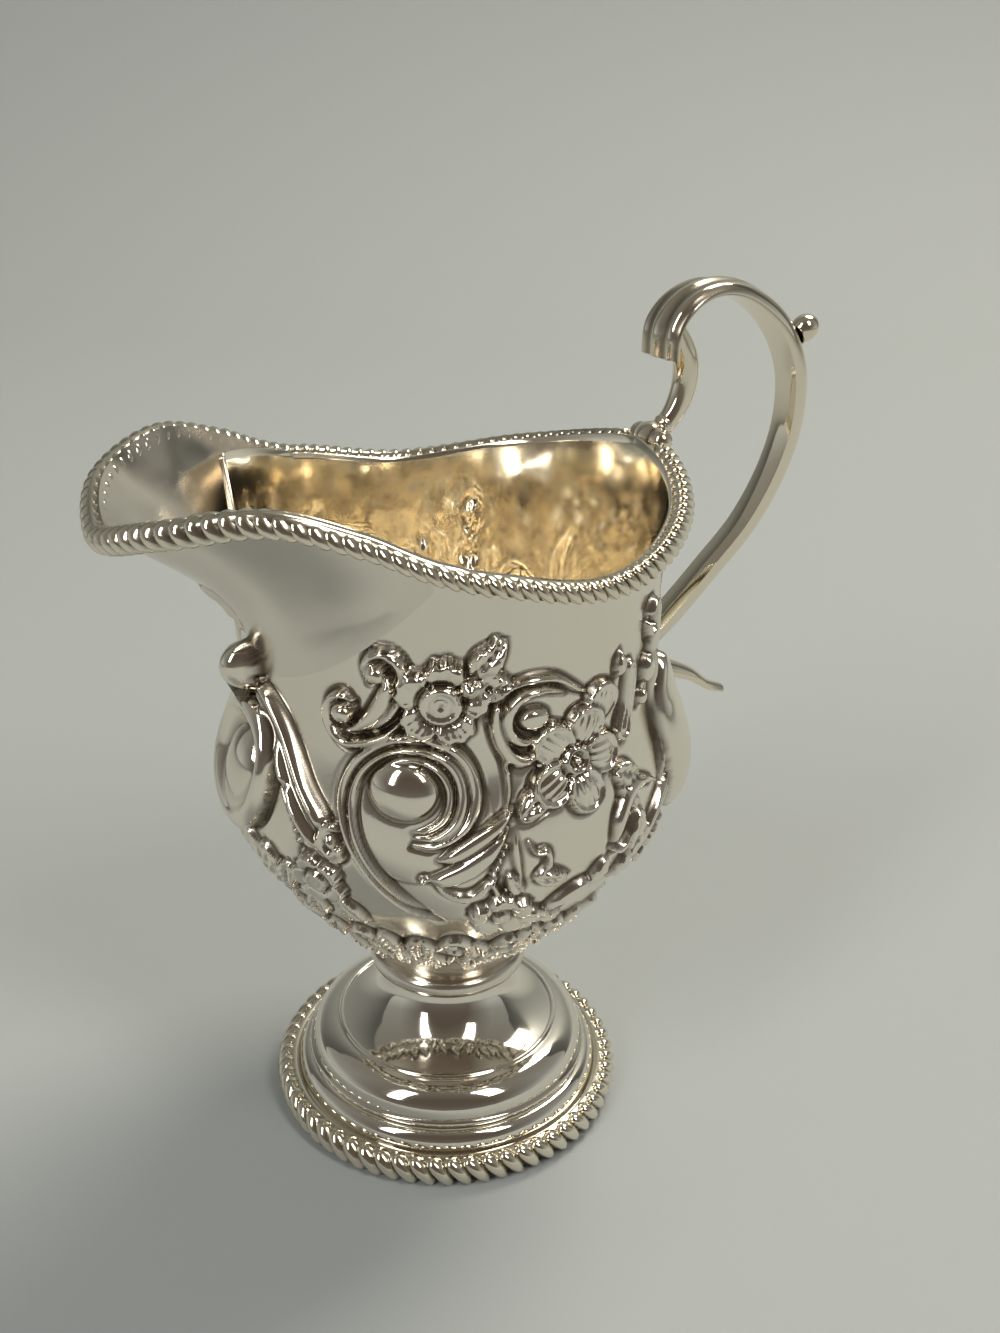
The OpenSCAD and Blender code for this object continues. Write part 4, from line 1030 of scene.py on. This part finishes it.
# Handle
# Cast in one length, D-shaped and flat inside, and filed smooth. The curl at its upper end is
# fluted and cut off square, and the scroll thins where it comes down to the pad.
handle_reach, handle_top_z, pad_z, pad_x, pad_r = 35.4, 133.6, 73.5, 36.2, 5.6
curl_w, back_t, flute_depth, flutes = 9.5, 3.9, 0.45, 4
handle_shares = [
    (0.128, 0.814), (0.147, 0.89), (0.244, 0.946), (0.387, 0.966), (0.553, 0.938), (0.728, 0.855),
    (0.828, 0.738), (0.832, 0.603), (0.754, 0.469), (0.604, 0.334), (0.395, 0.217), (0.21, 0.118),
    (0.105, 0.069),
]
handle_route = [
    (mix(belly_r, neck_r, z) + handle_reach * x, mix(pad_z, handle_top_z, z)) for x, z in handle_shares
]
handle_route.append((pad_x + solder_gap, pad_z + pad_r * 0.5))
handle_widths = [1, 0.98, 0.93, 0.84, 0.74, 0.65, 0.56, 0.53, 0.51, 0.5, 0.5, 0.52, 0.54]
handle_thicks = [0.45, 0.48, 0.5, 0.56, 0.7, 0.88, 1, 1, 0.98, 0.92, 0.88, 0.84, 0.8]
flute_fades = [1, 1, 1, 0.8, 0.4, 0.1, 0, 0, 0, 0, 0, 0, 0]


def left_of(way):
    way = way / np.linalg.norm(way, axis=-1, keepdims=True)
    return np.stack([-way[..., 1], way[..., 0]], -1)


def slope_at(route, u):
    last = len(route) - 1
    return through(route, np.minimum(u + 0.01, last)) - through(route, np.maximum(u - 0.01, 0))


def swept_crown(name, route, ways, widths, thicks, fades, arc=48, edge=0.35):
    """A D-shaped bar along a route in the middle plane: flat inside, crowned and fluted outside.
    fades is the share of the flutes' depth at each point, and edge is the dip of the flat side."""
    a = np.linspace(0, math.pi, arc + 1)[None]
    ridge = fades[:, None] * flute_depth * (1 - np.cos(flutes * 2 * a)) / 2
    crease = 0.16 * bell(np.degrees(a) - 38, 5) * (1 - fades[:, None])
    lift = (thicks[:, None] - ridge - crease) * np.sin(a) ** 0.85
    side = widths[:, None] / 2 * np.cos(a)
    out = left_of(ways)
    crown = route[:, None] + out[:, None] * lift[..., None]
    crown = np.stack([crown[..., 0], side, crown[..., 1]], -1)
    over = np.linspace(-1, 1, 11)[None, 1:-1]
    flat = over * widths[:, None] / 2
    dip = edge * (1 - over**2)
    back = route[:, None] - out[:, None] * (dip * np.minimum(1, thicks[:, None] / 2))[..., None]
    back = np.stack([back[..., 0], flat + 0 * back[..., 0], back[..., 1]], -1)
    ring = np.concatenate([crown, back], 1)
    dark = np.concatenate([np.clip(ridge / flute_depth, 0, 1) * 0.8 + crease * 4, np.zeros_like(flat)], 1)
    return closed_piece(name, ring, dark=dark, sharp=55)


# cast silver: smooth and a little softer than the foot, as filed and buffed by hand
cast_silver = silver_finish("cast_sterling_silver", "#EDE4D0", "#4A3822", 0.09, scratch=0.07, patina=0.85)
u = np.linspace(0, len(handle_route) - 1, 209)
share_u = np.minimum(u, len(handle_widths) - 1)
ways = slope_at(handle_route, u)
ways[-1] = [-1e-3, 0]
scroll = swept_crown(
    "scroll_bar", through(handle_route, u), ways,
    curl_w * through(handle_widths, share_u), back_t * through(handle_thicks, share_u),
    np.clip(through(flute_fades, share_u), 0, 1),
)
finish_piece(scroll, "cast_silver", [cast_silver], "handle_scroll")

# Hook and socket
# A round rod springs from inside the curl and bows down to a three-lobed boss on the mouth,
# which hides the joint where the border wire stops.
hook_t, hook_place, hook_gap = 4.0, 1.2, 0.2
socket_reach, socket_rise, socket_r, socket_w = 3.8, 1.5, 2.6, 9.0
hook_side = left_of(slope_at(handle_route, hook_place))
hook_root = through(handle_route, hook_place) - hook_side * hook_gap
hook_foot = np.array([neck_radius(mouth_back_z) + socket_reach, mouth_back_z + socket_rise])
hook_bows = [(0.1, 0.9), (0.19, 0.74), (0.24, 0.59), (0.246, 0.42), (0.205, 0.25), (0.12, 0.1)]
hook_route = [hook_root]
hook_route += [mix(hook_foot, hook_root, up) + [(hook_root[1] - hook_foot[1]) * out, 0] for out, up in hook_bows]
hook_route.append(hook_foot)
hook_thicks = [0.62, 0.72, 0.92, 1, 1, 0.94, 0.84, 0.74]


def swept_rod(name, route, ways, radii, sides=32):
    """A round rod along a route in the middle plane, with its radius at each point."""
    a = np.arange(sides) * 2 * math.pi / sides
    out = left_of(ways)
    middle = route[:, None] + out[:, None] * (radii[:, None] * np.sin(a))[..., None]
    ring = np.stack([middle[..., 0], radii[:, None] * np.cos(a), middle[..., 1]], -1)
    return closed_piece(name, ring, sharp=55)


u = np.linspace(0, len(hook_route) - 1, 113)
ways = slope_at(hook_route, u)
ways[0] = -hook_side * 1e-3
cuff = 0.2 * bell(u - 6.55, 0.12)
hook = swept_rod("hook_rod", through(hook_route, u), ways, hook_t / 2 * through(hook_thicks, u) + cuff)
finish_piece(hook, "cast_silver", [cast_silver], "handle_hook")

hook_way = slope_at(hook_route, len(hook_route) - 1)
hook_way /= np.linalg.norm(hook_way)
socket_mid = hook_foot + hook_way * (solder_gap + socket_r * 0.7)
socket_rows, socket_sides = 65, 48
y = np.linspace(-socket_w / 2, socket_w / 2, socket_rows)
side_r = socket_r * 0.75
lobes = [(0, socket_r), (-(socket_w / 2 - side_r), side_r), (socket_w / 2 - side_r, side_r)]
height = [np.sqrt(np.maximum(r * r - (y - c) ** 2, 0)) for c, r in lobes]
profile = np.maximum(np.sum([h**5 for h in height], axis=0) ** 0.2, 0.02)
a = np.arange(socket_sides) * 2 * math.pi / socket_sides
ring = np.stack(
    [socket_mid[0] + profile[:, None] * np.cos(a), np.broadcast_to(y[:, None], (socket_rows, socket_sides)),
     socket_mid[1] + profile[:, None] * np.sin(a)], -1,
)
socket_dark = np.broadcast_to(bell(abs(y) - 1.9, 0.35)[:, None], (socket_rows, socket_sides))
socket = closed_piece("socket_boss", ring, dark=socket_dark)
finish_piece(socket, "cast_silver", [cast_silver], "rim_socket")

# Thumb bud, pad and tail
# A small bud is soldered to the back of the scroll, a round pad takes the lower end on the belly,
# and a thin leaf with a mid rib flicks out below it.
bud_r, bud_place, bud_neck_turn = 2.15, 5.5, 38
bud_out = left_of(slope_at(handle_route, bud_place))
bar_t = back_t * float(through(handle_thicks, bud_place))
bud_root = through(handle_route, bud_place) + bud_out * (bar_t + solder_gap)
bud_turn = np.radians(np.linspace(-bud_neck_turn, 84, 25))
bud_rise = 0.3 + 1.16 * bud_r * (math.sin(math.radians(bud_neck_turn)) + np.sin(bud_turn))
bud_rise = np.concatenate([[0, 0.2], bud_rise])
bud_radii = np.concatenate([[1.85, 1.66], bud_r * np.cos(bud_turn)])
bud = swept_rod(
    "bud", bud_root + bud_out * bud_rise[:, None], np.broadcast_to(bud_out, (len(bud_rise), 2)), bud_radii
)
finish_piece(bud, "cast_silver", [cast_silver], "thumb_bud")

pad_sides = 96
pad_turn = np.linspace(0, 2 * math.pi, pad_sides + 1)[:-1]
pad_rings = []
for level, size in ((0.0, 1.0), (0.45, 1.0), (0.8, 0.985), (0.95, 0.95), (1.0, 0.9)):
    ry, rz = pad_r * size * np.cos(pad_turn), pad_r * size * np.sin(pad_turn)
    wall_r = np.interp(pad_z + rz, outline[:, 1], outline[:, 0]) - ground(pad_z + rz) + solder_gap
    back = np.sqrt(np.maximum(wall_r**2 - ry**2, 0))
    pad_rings.append(np.stack([mix(back, pad_x, level), ry, pad_z + rz], -1))
pad = closed_piece("pad_disc", pad_rings, sharp=45)
finish_piece(pad, "cast_silver", [cast_silver], "body_pad")

tail_reach, tail_drop, tail_w = 17.5, 6.8, 4.6
tail_root_z = pad_z - pad_r * 0.82
tail_route = [
    (pad_x + solder_gap + tail_reach * x, tail_root_z - tail_drop * z)
    for x, z in ((0, 0), (0.25, 0.09), (0.55, 0.4), (0.82, 0.84), (1, 1))
]
u = np.linspace(0, 4, 81)
ways = slope_at(tail_route, u)
ways[0] = [1e-3, 0]
tail = swept_crown(
    "tail_leaf", through(tail_route, u), ways, tail_w * through([1, 0.98, 0.85, 0.62, 0.7], u),
    tail_w * through([0.5, 0.54, 0.46, 0.34, 0.26], u), np.zeros(81), arc=32, edge=0.2,
)
finish_piece(tail, "cast_silver", [cast_silver], "handle_tail")

# Photographer's table
# A pale seamless sweep under soft lamps, seen from above the lip's left side as in the photograph.
wall_distance, cove_r = 0.95, 0.35


def plain_surface(name, code, roughness):
    """An even matt paint, which keeps the jug's shadow and gives its silver a calm floor to reflect."""
    material = bpy.data.materials.new(name)
    material.use_nodes = True
    shader = material.node_tree.nodes["Principled BSDF"]
    shader.inputs["Base Color"].default_value = linear(code)
    shader.inputs["Roughness"].default_value = roughness
    return material


view_way, view_side, half_width = np.array([0.51, 0.86]), np.array([0.86, -0.51]), 2.5
cove_turn = np.linspace(0, math.pi / 2, 17)
away = np.concatenate([[-half_width], wall_distance - cove_r + cove_r * np.sin(cove_turn), [wall_distance]])
height = np.concatenate([[0], cove_r - cove_r * np.cos(cove_turn), [2.0]])
sweep = [
    (*(view_way * a + view_side * side), h) for side in (-half_width, half_width) for a, h in zip(away, height)
]
steps = len(away)
floor_mesh = bpy.data.meshes.new("floor")
floor_mesh.from_pydata(sweep, [], [(i, i + steps, i + steps + 1, i + 1) for i in range(steps - 1)])
floor_mesh.polygons.foreach_set("use_smooth", np.ones(steps - 1, bool))
floor = bpy.data.objects.new("floor", floor_mesh)
bpy.context.scene.collection.objects.link(floor)
floor_mesh.materials.append(plain_surface("pale_table_paint", "#A9AEAD", 0.8))

camera = bpy.data.objects.new("camera", bpy.data.cameras.new("camera"))
bpy.context.scene.collection.objects.link(camera)
bpy.context.scene.camera = camera
# its place and its three directions were fitted to the photograph's ellipses of foot and mouth
right = (0.865, -0.5014, 0.0208)
up = (0.1953, 0.3744, 0.9065)
forward = (0.4623, 0.78, -0.4218)
turn = Matrix([right, up, [-f for f in forward]]).transposed().to_4x4()
camera.matrix_world = Matrix.Translation((-92.92 * MM, -172.07 * MM, 169.08 * MM)) @ turn
focal_pixels, image_height = 1400, 1333
camera.data.sensor_width = 36
camera.data.lens = 36 * focal_pixels / image_height
camera.data.clip_start = 0.01


lamp_aim_z = 70  # mm, the middle of the belly


def soft_lamp(name, azimuth, elevation, distance, width, height, power, code):
    """A rectangular softbox aimed at the belly."""
    light = bpy.data.lights.new(name, "AREA")
    light.shape = "RECTANGLE"
    light.size, light.size_y = width, height
    light.energy = power
    light.color = linear(code)[:3]
    lamp = bpy.data.objects.new(name, light)
    bpy.context.scene.collection.objects.link(lamp)
    across, above = math.radians(azimuth), math.radians(elevation)
    way = np.array([math.cos(above) * math.cos(across), math.cos(above) * math.sin(across), math.sin(above)])
    stand = Matrix.Translation(tuple(way * distance + [0, 0, lamp_aim_z * MM]))
    back = tuple(way)
    side = np.cross([0, 0, 1], back)
    side /= np.linalg.norm(side)
    over = np.cross(back, side)
    lamp.matrix_world = stand @ Matrix([tuple(side), tuple(over), back]).transposed().to_4x4()


soft_lamp("key_softbox", 20, 56, 1.7, 0.75, 0.75, 24.0, "#FFF7EA")
soft_lamp("side_strip", 200, 38, 1.5, 0.26, 1.1, 7.0, "#FFFFFF")
soft_lamp("front_strip", 285, 50, 1.5, 0.3, 0.75, 7.0, "#FFFCF8")

# the room: pale walls, a dimmer ceiling and a warm dark corner behind the camera, for the silver to reflect
world = bpy.data.worlds.new("studio")
bpy.context.scene.world = world
world.use_nodes = True
tree = world.node_tree
background = tree.nodes["Background"]
coords = add_node(tree, "ShaderNodeTexCoord")
split = add_node(tree, "ShaderNodeSeparateXYZ", None, {0: coords.outputs["Generated"]})
ramp = add_node(tree, "ShaderNodeValToRGB", None, {0: split.outputs["Z"]})
ramp.color_ramp.elements[0].position = 0.0
ramp.color_ramp.elements[0].color = linear("#B4B7B4")
ramp.color_ramp.elements[1].position = 0.9
ramp.color_ramp.elements[1].color = linear("#7A776F")
middle = ramp.color_ramp.elements.new(0.3)
middle.color = linear("#8E8E8A")
behind = add_node(
    tree, "ShaderNodeVectorMath", {"operation": "DOT_PRODUCT", 1: (-0.51, -0.86, 0.0)},
    {0: coords.outputs["Generated"]},
)
toward = span(tree, behind.outputs["Value"], 0.1, 0.75, 0.0, 0.8)
room = add_node(
    tree, "ShaderNodeMix", {"data_type": "RGBA", 7: linear("#4A3C30")}, {0: toward, 6: ramp.outputs["Color"]}
)
tree.links.new(background.inputs["Color"], room.outputs[2])
background.inputs["Strength"].default_value = 1.0
bpy.context.scene.view_settings.view_transform = "Standard"
